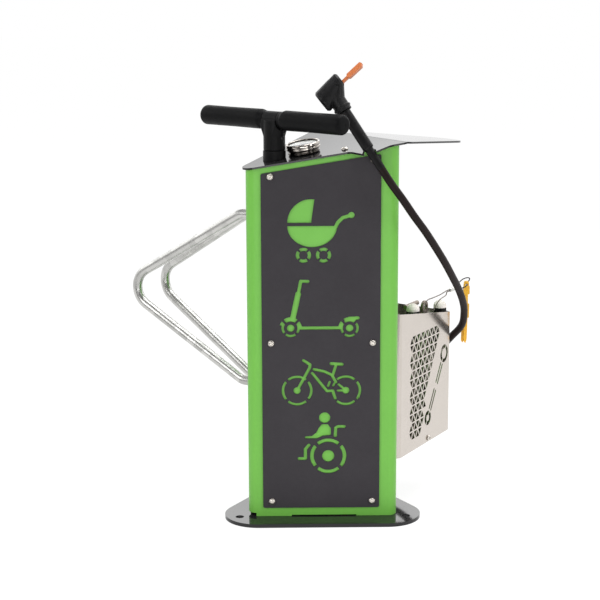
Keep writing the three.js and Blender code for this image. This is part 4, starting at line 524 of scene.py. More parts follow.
def to_mesh(work, name, matrix=None):
    if matrix is not None:
        bmesh.ops.transform(work, matrix=matrix, verts=work.verts)
    bmesh.ops.recalc_face_normals(work, faces=work.faces)
    mesh = bpy.data.meshes.new(name)
    work.to_mesh(mesh)
    work.free()
    return mesh


def flats_joined(mesh):
    """Working copy of a mesh, each flat one face."""
    work = bmesh.new()
    work.from_mesh(mesh)
    bmesh.ops.remove_doubles(work, verts=work.verts, dist=WELD)
    bmesh.ops.dissolve_limit(work, angle_limit=FLAT_ANGLE, verts=work.verts, edges=work.edges)
    return work


def node_solid(node):
    return flats_joined(frame["nodes"][node].data)


def baked(piece):
    """Mesh of a helper object with its modifiers applied, the helper removed."""
    graph = bpy.context.evaluated_depsgraph_get()
    made = bpy.data.meshes.new_from_object(piece.evaluated_get(graph))
    bpy.data.objects.remove(piece)
    return made


def skin(work, low, high):
    """Faces between two rings, either of which may be a single point."""
    count = max(len(low), len(high))
    for i in range(count if count > 1 else 0):
        after = (i + 1) % count
        if len(low) == 1:
            corners = (low[0], high[i], high[after])
        elif len(high) == 1:
            corners = (low[i], high[0], low[after])
        else:
            corners = (low[i], high[i], high[after], low[after])
        work.faces.new(corners)


def skinned_ends(work, low, high):
    """Closed body between two flat outlines."""
    work.faces.new(list(reversed(low)))
    work.faces.new(high)
    skin(work, low, high)


def ease_edges(work, edge, angle, segments):
    """Rounded edges wherever two faces meet sharply."""
    sharp = [
        e for e in work.edges
        if e.is_manifold and e.calc_face_angle(0) > math.radians(angle)
    ]
    bmesh.ops.bevel(
        work, geom=sharp, offset=edge, offset_type="OFFSET", segments=segments, profile=0.5,
        affect="EDGES", clamp_overlap=True,
    )


def dressed(node, finish, edge=0.4, angle=28, segments=2, smooth=32):
    """CAD node with its finish, its edges eased by some mm."""
    work = node_solid(node)
    if edge:
        ease_edges(work, edge * MM, angle, segments)
    mesh = to_mesh(work, node + "_finished")
    piece = put(node + "_finished", mesh, finish, node, smooth)
    level = piece.modifiers.new("level flats", "WEIGHTED_NORMAL")
    level.weight = 100
    level.keep_sharp = True


def softened(node, finish, voxel, rounds):
    """CAD node as one smooth moulding with melted edges, on a grid of so many mm."""
    mesh = to_mesh(node_solid(node), node + "_moulded")
    piece = in_scene(node + "_raw", mesh)
    remesh = piece.modifiers.new("even faces", "REMESH")
    remesh.mode = "VOXEL"
    remesh.voxel_size = voxel * MM
    melt = piece.modifiers.new("melt", "SMOOTH")
    melt.iterations = rounds
    melt.factor = 0.5
    put(node + "_moulded", baked(piece), finish, node, 60)


def eased(profile, radius, closed):
    """Profile with its sharp corners rounded."""
    count = len(profile)
    points = [Vector(p) for p in profile]
    made = []
    for i, point in enumerate(points):
        if not closed and i in (0, count - 1):
            made.append(point)
            continue
        back = points[i - 1] - point
        on = points[(i + 1) % count] - point
        if back.length < WELD or on.length < WELD or back.angle(on) > BLUNT_ANGLE:
            made.append(point)
            continue
        cut = min(radius, back.length * EASE_SHARE, on.length * EASE_SHARE)
        start = point + back.normalized() * cut
        end = point + on.normalized() * cut
        for step in range(EASE_STEPS + 1):
            t = step / EASE_STEPS
            made.append(start * (1 - t) ** 2 + point * 2 * t * (1 - t) + end * t ** 2)
    return made


def ring(work, count, radius_at, spot):
    """Corners round a centre, each where spot puts its two coordinates."""
    corners = []
    for step in range(count):
        angle = 2 * math.pi * step / count
        radius = radius_at(angle)
        corners.append(work.verts.new(spot(radius * math.cos(angle), radius * math.sin(angle))))
    return corners


def turned(name, profile, finish, node, matrix, steps, ease, radius_at=None, smooth=32):
    """Lathe shape about Z from (radius, height) pairs, with a radius that may vary round it."""
    closed = profile[0][0] > 0 or profile[-1][0] > 0
    points = eased(profile, ease, closed) if ease else [Vector(p) for p in profile]
    work = bmesh.new()
    rings = []
    for point in points:
        if point.x < WELD:
            rings.append([work.verts.new((0, 0, point.y))])
            continue
        rings.append(ring(
            work, steps, lambda angle: radius_at(point, angle) if radius_at else point.x,
            lambda x, y: (x, y, point.y),
        ))
    pairs = list(zip(rings, rings[1:]))
    if closed:
        pairs.append((rings[-1], rings[0]))
    for low, high in pairs:
        skin(work, low, high)
    return put(name, to_mesh(work, name, matrix), finish, node, smooth)


def centripetal(points, per_span):
    """Smooth line through points, as dense points."""
    knots = [points[0] * 2 - points[1], *points, points[-1] * 2 - points[-2]]
    line = []
    for i in range(1, len(knots) - 2):
        before, start, end, after = knots[i - 1:i + 3]
        first = max((start - before).length, WELD) ** 0.5
        middle = max((end - start).length, WELD) ** 0.5
        last = max((after - end).length, WELD) ** 0.5
        lead = ((start - before) / first - (end - before) / (first + middle)
                + (end - start) / middle) * middle
        tail = ((end - start) / middle - (after - start) / (middle + last)
                + (after - end) / last) * middle
        for step in range(per_span):
            t = step / per_span
            line.append(
                start * (2 * t ** 3 - 3 * t ** 2 + 1) + lead * (t ** 3 - 2 * t ** 2 + t)
                + end * (3 * t ** 2 - 2 * t ** 3) + tail * (t ** 3 - t ** 2)
            )
    line.append(points[-1])
    return line


def line_length(line):
    return sum((b - a).length for a, b in zip(line, line[1:]))


def evenly(line, spacing):
    """The same line with points a fixed step apart."""
    total = line_length(line)
    count = max(2, round(total / spacing))
    made = [line[0]]
    target = total / count
    gone = 0.0
    for start, end in zip(line, line[1:]):
        run = (end - start).length
        while gone + run >= target * len(made) and len(made) < count:
            share = (target * len(made) - gone) / run
            made.append(start.lerp(end, share))
        gone += run
    made.append(line[-1])
    return made


def tube_along(line, section_at, count):
    """Closed tube along a line, with a section that may turn as it goes."""
    work = bmesh.new()
    rings = []
    tangent = (line[1] - line[0]).normalized()
    side = tangent.orthogonal().normalized()
    gone = 0.0
    for i, point in enumerate(line):
        ahead = line[min(i + 1, len(line) - 1)] - line[max(i - 1, 0)]
        turn = tangent.rotation_difference(ahead.normalized())
        side = turn @ side
        tangent = ahead.normalized()
        other = tangent.cross(side)
        rings.append(ring(
            work, count, lambda angle: section_at(angle, gone),
            lambda x, y: point + side * x + other * y,
        ))
        if i + 1 < len(line):
            gone += (line[i + 1] - point).length
    for low, high in zip(rings, rings[1:]):
        skin(work, low, high)
    work.faces.new(list(reversed(rings[0])))
    work.faces.new(rings[-1])
    return work


def swept(name, line, section_at, count, finish, node):
    return put(name, to_mesh(tube_along(line, section_at, count), name), finish, node, 60)


# Hose: one rubber line from the gland to the sleeve
def hose_line():
    start = BASKET_WALL @ Vector((*GLAND_SPOT, GLAND_LENGTH + SEAT))
    end = NECK_PLACE + NECK_DOWN * (SLEEVE_END + SEAT)
    lead = 2 * HOSE_DIAMETER
    return [
        start, start + FALL * lead, *[Vector(p) * MM for p in HOSE_POINTS],
        end + NECK_DOWN * lead, end,
    ]


HOSE_CHORD = 6 * MM
HOSE_RING_STEP = 1.75 * MM
RIPPLE_DEPTH = 0.06 * MM
RIPPLE_LENGTH = 7 * MM
hose_path = evenly(evenly(centripetal(hose_line(), 14), HOSE_CHORD), HOSE_RING_STEP)


def hose_section(angle, gone):
    """Round, with the faint ripple of the cord inside the rubber."""
    ripple = math.sin(gone * 2 * math.pi / RIPPLE_LENGTH + angle)
    return HOSE_DIAMETER / 2 - RIPPLE_DEPTH + RIPPLE_DEPTH * ripple


hose = swept("hose_line", hose_path, hose_section, 32, HOSE_RUBBER, "hose")


def strand_ends(side):
    """Lower and upper strand where they leave the ferrule, inward at -1 and outward at 1."""
    middle = FERRULE_PLACE + FERRULE_OUT * (side * (FERRULE_LENGTH / 2 + SEAT))
    half = Vector((0, 0, STRAND_GAP / 2))
    return middle - half, middle + half


def sling_line():
    low, high = strand_ends(-1)
    lead = FERRULE_OUT * 3 * CABLE_DIAMETER
    along = Vector((math.cos(SLING_EYE_TURN), math.sin(SLING_EYE_TURN), 0)) * SLING_EYE_REACH
    return [
        low, low - lead, *[Vector(p) * MM for p in SLING_POINTS],
        SLING_EYE + along, SLING_EYE - along,
        *[Vector(p) * MM for p in SLING_RETURN_POINTS], high - lead, high,
    ]


def loop_line():
    low, high = strand_ends(1)
    lead = FERRULE_OUT * CABLE_DIAMETER
    return [low, low + lead, *[Vector(p) * MM for p in LOOP_POINTS], high + lead, high]


CABLE_LAY = 14 * MM
CABLE_STRANDS = 6
WIRE_RELIEF = 0.07
COAT_WAVE = 0.005
COAT_TURNS = 900


def cable_section(angle, gone):
    """Six wires laid round a core."""
    wire = math.cos(CABLE_STRANDS * (angle - gone * 2 * math.pi / CABLE_LAY))
    return CABLE_DIAMETER / 2 * (1 - WIRE_RELIEF + WIRE_RELIEF * wire)


def coated_section(angle, gone):
    """Smooth coat with a very slow wave."""
    return CABLE_DIAMETER / 2 * (1 - COAT_WAVE + COAT_WAVE * math.cos(angle + gone * COAT_TURNS))


sling_path = evenly(centripetal(sling_line(), 12), 1.2 * MM)
loop_path = evenly(centripetal(loop_line(), 12), 1.0 * MM)
sling = swept("sling_wire", sling_path, cable_section, 24, CABLE_STEEL, "sling_cable")
loop = swept("lever_loop_wire", loop_path, coated_section, 16, SLEEVE_RUBBER, "lever_loop")


# Screws, in mm: head's width and height, shank's width and length
SCREWS = {
    "panel_screw": (14.5, 4.6, 8, 14), "deck_screw": (14.5, 4.6, 8, 16),
    "basket_screw": (14.5, 4.6, 8, 14), "floor_screw": (13, 3.6, 6, 9),
}
SOCKET_WIDTH = 5 * MM
SOCKET_DEPTH = 2.6 * MM
SIXTH = math.radians(60)
DOME_SHARES = ((0.985, 0.3), (0.9, 0.58), (0.76, 0.8), (0.58, 0.95), (0.46, 1))


def screw(node, axis):
    """Domed screw with a hexagon socket on its CAD node's place, its head towards axis."""
    head, rise, shank, length = [v * MM for v in SCREWS[node.rsplit("_", 1)[0]]]
    low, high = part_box(node)
    place = (low + high) / 2 - axis * ((rise - length) / 2)
    profile = [
        (0, -length), (shank / 2 - 0.7 * MM, -length), (shank / 2, 0.7 * MM - length),
        (shank / 2, 0), (head / 2 - 0.3 * MM, 0), (head / 2, 0.4 * MM),
        *[(head / 2 * wide, rise * high) for wide, high in DOME_SHARES],
        (SOCKET_WIDTH * 0.51, rise), (SOCKET_WIDTH / 2, rise - 0.3 * MM),
        (SOCKET_WIDTH / 2, rise - SOCKET_DEPTH), (0, rise - SOCKET_DEPTH - 0.5 * MM),
    ]

    def radius_at(point, angle):
        if point.y > rise - SOCKET_DEPTH - 0.1 * MM and point.x < SOCKET_WIDTH * 0.525:
            return point.x / math.cos(angle % SIXTH - SIXTH / 2)
        return point.x

    turned(node + "_head", profile, SCREW_STEEL, node, aimed(place, axis), 36, 0,
           radius_at, 40)


for kind, count, outward in (
    ("panel_screw", 6, Vector((0, -1, 0))), ("deck_screw", 3, DECK_NORMAL), ("basket_screw", 4, FALL),
):
    for number in range(1, count + 1):
        screw(f"{kind}_{number}", outward)
screw("floor_screw_1", Vector((math.sin(SIXTH), -math.cos(SIXTH), 0)))
screw("floor_screw_2", Vector((0, 1, 0)))


# Post, plates and basket
dressed("base_plate", PLATE_PAINT, 0.7, 40, 3)
dressed("post_shell", GREEN_PAINT, 0.3, 40, 1)
dressed("deck_plate", PLATE_PAINT, 0.5, 40, 2)
dressed("basket_wall", STAINLESS, 0.0, 30, 1)
dressed("basket_floor", STAINLESS, 0.25, 40, 1)

# Cycle holder: two bent tubes on the left back wall
HOLDER_WALL = wall_frame(math.radians(240), POST_REACH)
HOLDER_DIAMETER = 21 * MM
HOLDER_REACH = 297 * MM
HOLDER_HEIGHT = 481 * MM
HOLDER_PITCH = math.radians(30)
HOLDER_APEX_RADIUS = 44 * MM
HOLDER_ROOT_RADIUS = 30 * MM
HOLDER_ROOT_REACH = 26 * MM
HOLDER_RING_STEP = 5 * MM
BEND_STEP = math.radians(4)


def bent_line(points, radii):
    """Straight runs joined by round bends."""
    line = [points[0]]
    for before, corner, after, radius in zip(points, points[1:], points[2:], radii):
        back = (before - corner).normalized()
        on = (after - corner).normalized()
        half = back.angle(on) / 2
        centre = corner + (back + on).normalized() * (radius / math.sin(half))
        start = corner + back * (radius / math.tan(half)) - centre
        end = corner + on * (radius / math.tan(half)) - centre
        turn = math.pi - 2 * half
        axis = start.cross(end).normalized()
        count = math.ceil(turn / BEND_STEP)
        for i in range(count + 1):
            line.append(centre + Quaternion(axis, turn * i / count) @ start)
    line.append(points[-1])
    return line


def holder_tube(node, along, splay):
    """One arm up and one down from its apex, cut square with the wall that it is welded to."""
    vertex = HOLDER_REACH + HOLDER_APEX_RADIUS * (1 / math.sin(HOLDER_PITCH) - 1)
    rise = (vertex - HOLDER_ROOT_REACH) * math.tan(HOLDER_PITCH)
    corners = [Vector((0, HOLDER_HEIGHT + up, out)) for up, out in (
        (rise, -HOLDER_DIAMETER), (rise, HOLDER_ROOT_REACH), (0, vertex),
        (-rise, HOLDER_ROOT_REACH), (-rise, -HOLDER_DIAMETER),
    )]
    line = bent_line(corners, (HOLDER_ROOT_RADIUS, HOLDER_APEX_RADIUS, HOLDER_ROOT_RADIUS))
    work = tube_along(evenly(line, HOLDER_RING_STEP), lambda angle, gone: HOLDER_DIAMETER / 2, 36)
    place = Matrix.Translation((along, 0, 0)) @ Matrix.Rotation(-splay, 4, "Y")
    bmesh.ops.transform(work, matrix=place, verts=work.verts)
    bmesh.ops.bisect_plane(
        work, geom=[*work.verts, *work.edges, *work.faces], plane_co=(0, 0, SEAT),
        plane_no=(0, 0, 1), clear_inner=True,
    )
    bmesh.ops.holes_fill(work, edges=[e for e in work.edges if e.is_boundary])
    name = node + "_bent"
    put(name, to_mesh(work, name, HOLDER_WALL), ZINC_DIP, node, 60)


holder_tube("holder_tube_near", 125 * MM, 0)
holder_tube("holder_tube_far", 87 * MM, math.radians(12))


# Front panel, its figures cut with round ends and true arcs
PANEL_LEFT = -129 * MM
PANEL_RIGHT = 122 * MM
PANEL_BOTTOM = 27.5 * MM
PANEL_GAP = 12.6 * MM
PANEL_CORNER = 4 * MM
PANEL_THICKNESS = 3 * MM
DECK_THICKNESS = 4 * MM
PANEL_SCREW_HOLE = 8.6 * MM
CUT_REACH = POST_REACH / 2
FIGURE_WIDTH = 150 * MM
FIGURE_X = -3.5 * MM
ARC_STEP = math.radians(6)
# Figures in shares of FIGURE_WIDTH about their middles, the middle's height in shares of the panel's
WHEEL_BRIDGE = 0.07
WHEEL_BRIDGE_END = 0.008
PRAM = {
    "height": 0.8, "sector": ((-0.137, 0.067), 0.333, 82, 180), "bowl": ((-0.123, 0.023), 0.347, 0.3),
    "wheels": [(-0.246, -0.39), (0.035, -0.39)], "radii": (0.107, 0.06), "hub": 0,
    "strokes": [([(0.2, 0), (0.235, 0.07), (0.3, 0.135), (0.423, 0.173)], 0.053)],
    "discs": [((0.423, 0.173), 0.045)],
}
SCOOTER = {
    "height": 0.584, "wheels": [(-0.43, -0.33), (0.403, -0.333)], "radii": (0.13, 0.095),
    "hub": 0.052, "guard_radii": (0.16, 0.12),
    "guards": [(0, 51, 129), (0, 141, 165), (0, 6, 39), (1, 51, 124), (1, 141, 174)],
    "strokes": [
        ([(-0.4, -0.2), (-0.322, 0.16)], 0.08), ([(-0.325, 0.14), (-0.283, 0.345)], 0.048),
        ([(-0.286, 0.345), (-0.184, 0.342)], 0.045), ([(-0.3, -0.328), (0.27, -0.328)], 0.048),
        ([(0.4, -0.192), (0.52, -0.187)], 0.05),
    ],
}
BICYCLE = {
    "height": 0.3715, "wheels": [(-0.341, -0.153), (0.351, -0.153)], "radii": (0.22, 0.183),
    "hub": 0.051, "without": (1, 2),
    "strokes": [
        ([(-0.341, -0.153), (-0.163, 0.18), (-0.157, 0.227), (-0.25, 0.287)], 0.042),
        ([(-0.1, 0.157), (0.045, 0.125), (0.151, 0.073), (0.21, -0.033)], 0.042),
        ([(-0.125, 0.1), (0.083, -0.163), (0.165, -0.157), (0.2, -0.27)], 0.042),
        ([(0.143, 0.239), (0.296, 0.228)], 0.048), ([(0.212, 0.22), (0.163, 0.06)], 0.042),
        ([(0.25, -0.067), (0.351, -0.153), (0.24, -0.157)], 0.036),
        ([(0.122, -0.03), (0.1, -0.088)], 0.036), ([(0.187, -0.052), (0.172, -0.085)], 0.032),
    ],
}
WHEELCHAIR = {
    "height": 0.205, "wheels": [(0.101, -0.272)], "radii": (0.26, 0.207), "hub": 0.087,
    "discs": [((0.05, 0.296), 0.08)],
    "torso": [
        (0.01, 0.2), (-0.037, 0.14), (-0.07, 0.077), (-0.132, 0.027), (-0.23, 0.023),
        (-0.23, -0.011), (-0.057, -0.012), (0.028, 0.029), (0.139, 0.037), (0.139, 0.14),
        (0.095, 0.2),
    ],
    "strokes": [
        ([(0.202, 0.025), (0.208, 0.145), (0.245, 0.164), (0.33, 0.164)], 0.046),
        ([(-0.176, -0.11), (-0.226, -0.17), (-0.226, -0.31), (-0.315, -0.31)], 0.046),
    ],
}


def arc(centre, radius, start, end, wide=1.0, deep=1.0):
    count = max(2, math.ceil(abs(end - start) / ARC_STEP))
    angles = [start + (end - start) * i / count for i in range(count + 1)]
    return [
        (centre[0] + radius * wide * math.cos(a), centre[1] + radius * deep * math.sin(a))
        for a in angles
    ]


def capsule(start, end, width):
    angle = math.atan2(end[1] - start[1], end[0] - start[0])
    quarter = math.pi / 2
    return arc(end, width / 2, angle - quarter, angle + quarter) + arc(
        start, width / 2, angle + quarter, angle + 3 * quarter)


def figure_outlines(figure):
    outlines = []
    for line, width in figure["strokes"]:
        outlines += [capsule(a, b, width) for a, b in zip(line, line[1:])]
    outer, inner = figure["radii"]
    for number, wheel in enumerate(figure["wheels"]):
        half = math.radians(45) - (WHEEL_BRIDGE + WHEEL_BRIDGE_END / outer)
        for quarter in range(4):
            if (number, quarter) == figure.get("without"):
                continue
            middle = quarter * math.pi / 2
            outlines.append(arc(wheel, outer, middle - half, middle + half)
                            + arc(wheel, inner, middle + half, middle - half))
        if figure["hub"]:
            outlines.append(arc(wheel, figure["hub"], 0, 2 * math.pi)[:-1])
    for number, start, end in figure.get("guards", []):
        wheel = figure["wheels"][number]
        outer, inner = figure["guard_radii"]
        start, end = math.radians(start), math.radians(end)
        outlines.append(arc(wheel, outer, start, end) + arc(wheel, inner, end, start))
    for centre, radius in figure.get("discs", []):
        outlines.append(arc(centre, radius, 0, 2 * math.pi)[:-1])
    if "torso" in figure:
        outlines.append(figure["torso"])
    if "sector" in figure:
        centre, radius, start, end = figure["sector"]
        outlines.append([centre] + arc(centre, radius, math.radians(start), math.radians(end)))
        centre, wide, deep = figure["bowl"]
        outlines.append(arc(centre, 1, math.pi, 2 * math.pi, wide, deep))
    return outlines


def prism(outline, low, high, name):
    work = bmesh.new()
    rings = [[work.verts.new((x, y, height)) for x, y in outline] for height in (low, high)]
    skinned_ends(work, *rings)
    return to_mesh(work, name)


def rounded_outline(corners, radius):
    made = []
    for i, corner in enumerate(corners):
        here = Vector(corner)
        back = (Vector(corners[i - 1]) - here).normalized()
        on = (Vector(corners[(i + 1) % len(corners)]) - here).normalized()
        half = back.angle(on) / 2
        start = here + back * (radius / math.tan(half))
        centre = here + (back + on).normalized() * (radius / math.sin(half))
        first = math.atan2(start.y - centre.y, start.x - centre.x)
        turn = math.pi - 2 * half
        made += arc(centre, radius, first, first + turn)
    return made


def panel_top(x):
    return deck_height(x, -POST_REACH) - DECK_THICKNESS - PANEL_GAP


def cut_by(mesh, cutters):
    """Mesh less every cutter, all joined first."""
    piece = in_scene("cut", mesh)
    group = bpy.data.collections.new("cutters")
    for cutter in cutters:
        group.objects.link(bpy.data.objects.new(cutter.name, cutter))
    cut = piece.modifiers.new("cut", "BOOLEAN")
    cut.operation = "DIFFERENCE"
    cut.solver = "EXACT"
    cut.operand_type = "COLLECTION"
    cut.collection = group
    made = baked(piece)
    for cutter in list(group.objects):
        bpy.data.objects.remove(cutter)
    bpy.data.collections.remove(group)
    return made


def front_panel():
    corners = [
        (PANEL_LEFT, PANEL_BOTTOM), (PANEL_RIGHT, PANEL_BOTTOM),
        (PANEL_RIGHT, panel_top(PANEL_RIGHT)), (PANEL_LEFT, panel_top(PANEL_LEFT)),
    ]
    outline = rounded_outline(corners, PANEL_CORNER)
    plate = prism(outline, SEAT, SEAT + PANEL_THICKNESS, "panel")
    cutters = []
    tall = panel_top(PANEL_RIGHT) - PANEL_BOTTOM
    for figure in (PRAM, SCOOTER, BICYCLE, WHEELCHAIR):
        middle = (FIGURE_X, PANEL_BOTTOM + tall * figure["height"])
        for shape in figure_outlines(figure):
            placed = [(middle[0] + x * FIGURE_WIDTH, middle[1] + y * FIGURE_WIDTH) for x, y in shape]
            cutters.append(prism(placed, -CUT_REACH, CUT_REACH, "figure"))
    inverse = FRONT_WALL.inverted()
    for number in range(1, 7):
        low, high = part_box(f"panel_screw_{number}")
        spot = inverse @ ((low + high) / 2)
        hole = arc((spot.x, spot.y), PANEL_SCREW_HOLE / 2, 0, 2 * math.pi)[:-1]
        cutters.append(prism(hole, -CUT_REACH, CUT_REACH, "hole"))
    name = "front_panel_plate"
    mesh = to_mesh(flats_joined(cut_by(plate, cutters)), name, FRONT_WALL)
    put(name, mesh, PANEL_PAINT, "front_panel")


front_panel()


# Pump: barrel, collar, rod and the parts inside
dressed("pump_barrel", STAINLESS, 0.2)
dressed("foot_valve", BRASS, 0.4)
dressed("rod_bush", BRASS, 0.2)
dressed("pump_piston", ZINC, 0.3)
dressed("piston_seal", SLEEVE_RUBBER, 0.6)
dressed("pump_rod", CHROME, 0.0)
dressed("pump_bracket", ZINC, 0.4)
dressed("deck_collar", HUB_PLASTIC, 0.6)
dressed("outlet_pipe", BRASS, 0.0, 28, 1, 60)
dressed("gauge_pipe", BRASS, 0.0, 28, 1, 60)
dressed("handle_core", ZINC, 0.3)
softened("handle_hub", HUB_PLASTIC, 0.9, 12)

GRIP_BORE = 11.3 * MM
GRIP_CAP = 14 * MM
GRIP_RADIUS = 21 * MM
GRIP_START = 21 * MM
GRIP_NECK = 18.3 * MM
GRIP_NECK_LENGTH = 5 * MM
GRIP_SHOULDER = 10 * MM
GRIP_WAIST = 0.35 * MM
GRIP_DOME = 9 * MM
GRIP_TAIL = 11 * MM


def hand_grip(node, side, end):
    """Rubber sleeve with a soft shoulder, a slight waist and a domed end, closed along its bore."""
    flare = GRIP_START + GRIP_NECK_LENGTH
    profile = [(GRIP_BORE, GRIP_START), (17.4 * MM, GRIP_START), (18 * MM, GRIP_START + 0.8 * MM),
               (GRIP_NECK, flare)]
    for step in range(1, 9):
        share = step / 8
        swell = 0.5 - 0.5 * math.cos(math.pi * share)
        profile.append((GRIP_NECK + (GRIP_RADIUS - GRIP_NECK) * swell, flare + GRIP_SHOULDER * share))
    body = flare + GRIP_SHOULDER
    for step in range(1, 13):
        share = step / 13
        waist = GRIP_WAIST * math.sin(math.pi * share) ** 2
        profile.append((GRIP_RADIUS - waist, body + (end - GRIP_TAIL - body) * share))
    for step in range(9):
        angle = math.radians(90) * step / 8
        profile.append((GRIP_RADIUS - GRIP_DOME * (1 - math.cos(angle)),
                        end - GRIP_DOME * (1 - math.sin(angle))))
    profile += [(4 * MM, end - 0.02 * MM), (3.6 * MM, end - 0.5 * MM), (0, end - 0.5 * MM)]
    profile += [(0, end - GRIP_CAP + SEAT), (GRIP_BORE, end - GRIP_CAP + SEAT)]
    matrix = HANDLE_FRAME @ Matrix.Rotation(math.pi if side < 0 else 0, 4, "X")
    turned(node + "_rubber", profile, GRIP_RUBBER, node, matrix, 72, 0, smooth=40)


hand_grip("grip_right", 1, 197 * MM)
hand_grip("grip_left", -1, 208 * MM)


# Gauge, its profiles as radius and height in mm
def gauge():
    case = [
        (0, -40), (6.4, -40), (7, -39.2), (7, -0.4), (7, 0.3), (31, 0.3), (33.4, 1.4), (34, 3.2),
        (34, 5.2), (32.6, 6.4), (32.6, 9), (34, 9.9), (34, 18), (30.5, 18), (30.5, 11), (1.9, 11),
        (1.9, 5.5), (0, 5.5),
    ]
    bezel = [
        (34.3, 10.6), (35.4, 10.6), (36.3, 11.5), (36.3, 14.2), (35.7, 14.9), (35.7, 16.4),
        (36.3, 17.1), (36.3, 21.4), (35.9, 22.5), (34.9, 23.3), (33.8, 23.5), (32.8, 23.2),
        (32.2, 22.6), (31.9, 21.6), (34.3, 21.6),
    ]
    dial = [
        (1.6, 11.3), (30.2, 11.3), (30.2, 17.8), (29.5, 17.8), (29.5, 13), (28.8, 12.3), (1.6, 12.3),
    ]
    glass = [
        (0, 18.3), (33.8, 18.3), (33.85, 19), (33.8, 20.3), (22, 20.3), (0, 20.3),
    ]
    for name, profile, finish, node in (
        # The case's darker chrome is painted reflection: dark surroundings painted into its base colour
        ("gauge_case_turned", case, CHROME_DARKENED_BY_PAINTED_REFLECTION, "gauge_case"),
        ("gauge_bezel_turned", bezel, CHROME, "gauge_bezel"),
        ("gauge_dial_face", dial, DIAL_PAINT, "gauge_dial"),
        ("gauge_glass_disc", glass, GLASS, "gauge_glass"),
    ):
        pairs = [(r * MM, h * MM) for r, h in profile]
        turned(name, pairs, finish, node, GAUGE_FRAME, 96, 0.25 * MM)


gauge()


MARKS = 50
LONG_EVERY = 5
MARK_FROM = math.radians(225)
MARK_SPAN = math.radians(270)
MARK_OUTER = 26.5 * MM
LONG_MARK = (20.5 * MM, 0.3 * MM)
SHORT_MARK = (23.5 * MM, 0.14 * MM)
MARK_HEIGHTS = (12.3 * MM, 12.36 * MM)


def gauge_marks():
    """Scale of long and short strokes round the dial."""
    work = bmesh.new()
    for mark in range(MARKS + 1):
        angle = MARK_FROM - MARK_SPAN * mark / MARKS
        inner, half = LONG_MARK if mark % LONG_EVERY == 0 else SHORT_MARK
        along = Vector((math.cos(angle), math.sin(angle), 0))
        across = Vector((-along.y, along.x, 0)) * half
        corners = [along * inner - across, along * MARK_OUTER - across, along * MARK_OUTER + across,
                   along * inner + across]
        skinned_ends(work, *[
            [work.verts.new((c.x, c.y, height)) for c in corners] for height in MARK_HEIGHTS
        ])
    put("gauge_marks", to_mesh(work, "gauge_marks", GAUGE_FRAME), MARK_PAINT)


gauge_marks()
dressed("gauge_needle", MARK_PAINT, 0.15)


# Pump head, lever and sleeve
softened("pump_head", BLACK_PLASTIC, 0.7, 7)
dressed("head_seal", SLEEVE_RUBBER, 0.8, 40, 3)
dressed("head_lever", ORANGE_PLASTIC, 1.3, 28, 3)
dressed("lever_pin", BLACK_PLASTIC, 0.3)
sleeve = turned(
    "hose_sleeve_moulded",
    [(4 * MM, SLEEVE_FROM), (11.2 * MM, SLEEVE_FROM), (SLEEVE_THICK, SLEEVE_FROM + 1.2 * MM),
     (SLEEVE_THICK, SLEEVE_STEP), (SLEEVE_THIN, SLEEVE_STEP + 2.5 * MM),
     (SLEEVE_THIN, SLEEVE_STEP + 17.5 * MM), (8.6 * MM, SLEEVE_END - 0.6 * MM),
     (8.2 * MM, SLEEVE_END), (4 * MM, SLEEVE_END)],
    SLEEVE_RUBBER, "hose_sleeve", NECK_FRAME, 64, 0.8 * MM,
)
dressed("hose_gland", BRASS, 0.4)


# Tools
FLUTES = 16
FLUTE_DEPTH = 0.045
CAP_RADIUS = 14.9 * MM
CAP_HEIGHT = 17 * MM
CAP_DOME = 14 * MM
HANDLE_LENGTH = 112 * MM
NECK_RADIUS = 9 * MM


def driver(number, x, y, lift):
    """Screwdriver with a pale domed cap over a ribbed dark handle."""
    node = f"screwdriver_grip_{number}"
    middle = Matrix.Translation((x, y, 0))
    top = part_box(node)[1].z + lift
    rim = top - CAP_HEIGHT
    cap = [(0, rim), (14.4 * MM, rim), (CAP_RADIUS, rim + 0.6 * MM)]
    for step in range(12):
        angle = math.radians(90) * step / 12
        cap.append((CAP_RADIUS * math.cos(angle), top - CAP_DOME + CAP_DOME * math.sin(angle)))
    cap.append((0, top))
    turned(node + "_cap", cap, PALE_PLASTIC, node, middle, 56, 0)
    low = top - HANDLE_LENGTH
    ribbed = [
        (0, low + 24 * MM), (3.8 * MM, low + 24 * MM), (3.8 * MM, low), (7.5 * MM, low),
        (12.2 * MM, low + 15 * MM), (12.5 * MM, low + 30 * MM), (14.6 * MM, low + 45 * MM),
        (14.8 * MM, top - 20 * MM), (14.8 * MM, rim - SEAT), (0, rim - SEAT),
    ]

    def radius_at(point, angle):
        if point.x < NECK_RADIUS:
            return point.x
        return point.x * (1 - FLUTE_DEPTH + FLUTE_DEPTH * math.cos(FLUTES * angle))

    turned(node + "_ribbed", ribbed, BLACK_PLASTIC, node, middle, 96, 1.5 * MM,
           radius_at, 45)
    dressed(f"screwdriver_blade_{number}", TOOL_STEEL, 0.15)


driver(1, 205 * MM, 60 * MM, -1.2 * MM)
driver(2, 275 * MM, 156.5 * MM, 2.5 * MM)
dressed("spanner", TOOL_STEEL, 0.6, 40, 2)
dressed("hex_key", TOOL_STEEL, 0.4)
for number in (1, 2):
    dressed(f"tyre_lever_{number}", YELLOW_PLASTIC, 0.9, 28, 3)


CRIMPS = (-0.45, 0.0, 0.45)
CRIMP_SHARE = 0.88
FERRULE_END_SHARE = 0.86
FERRULE_SQUEEZE = 0.12


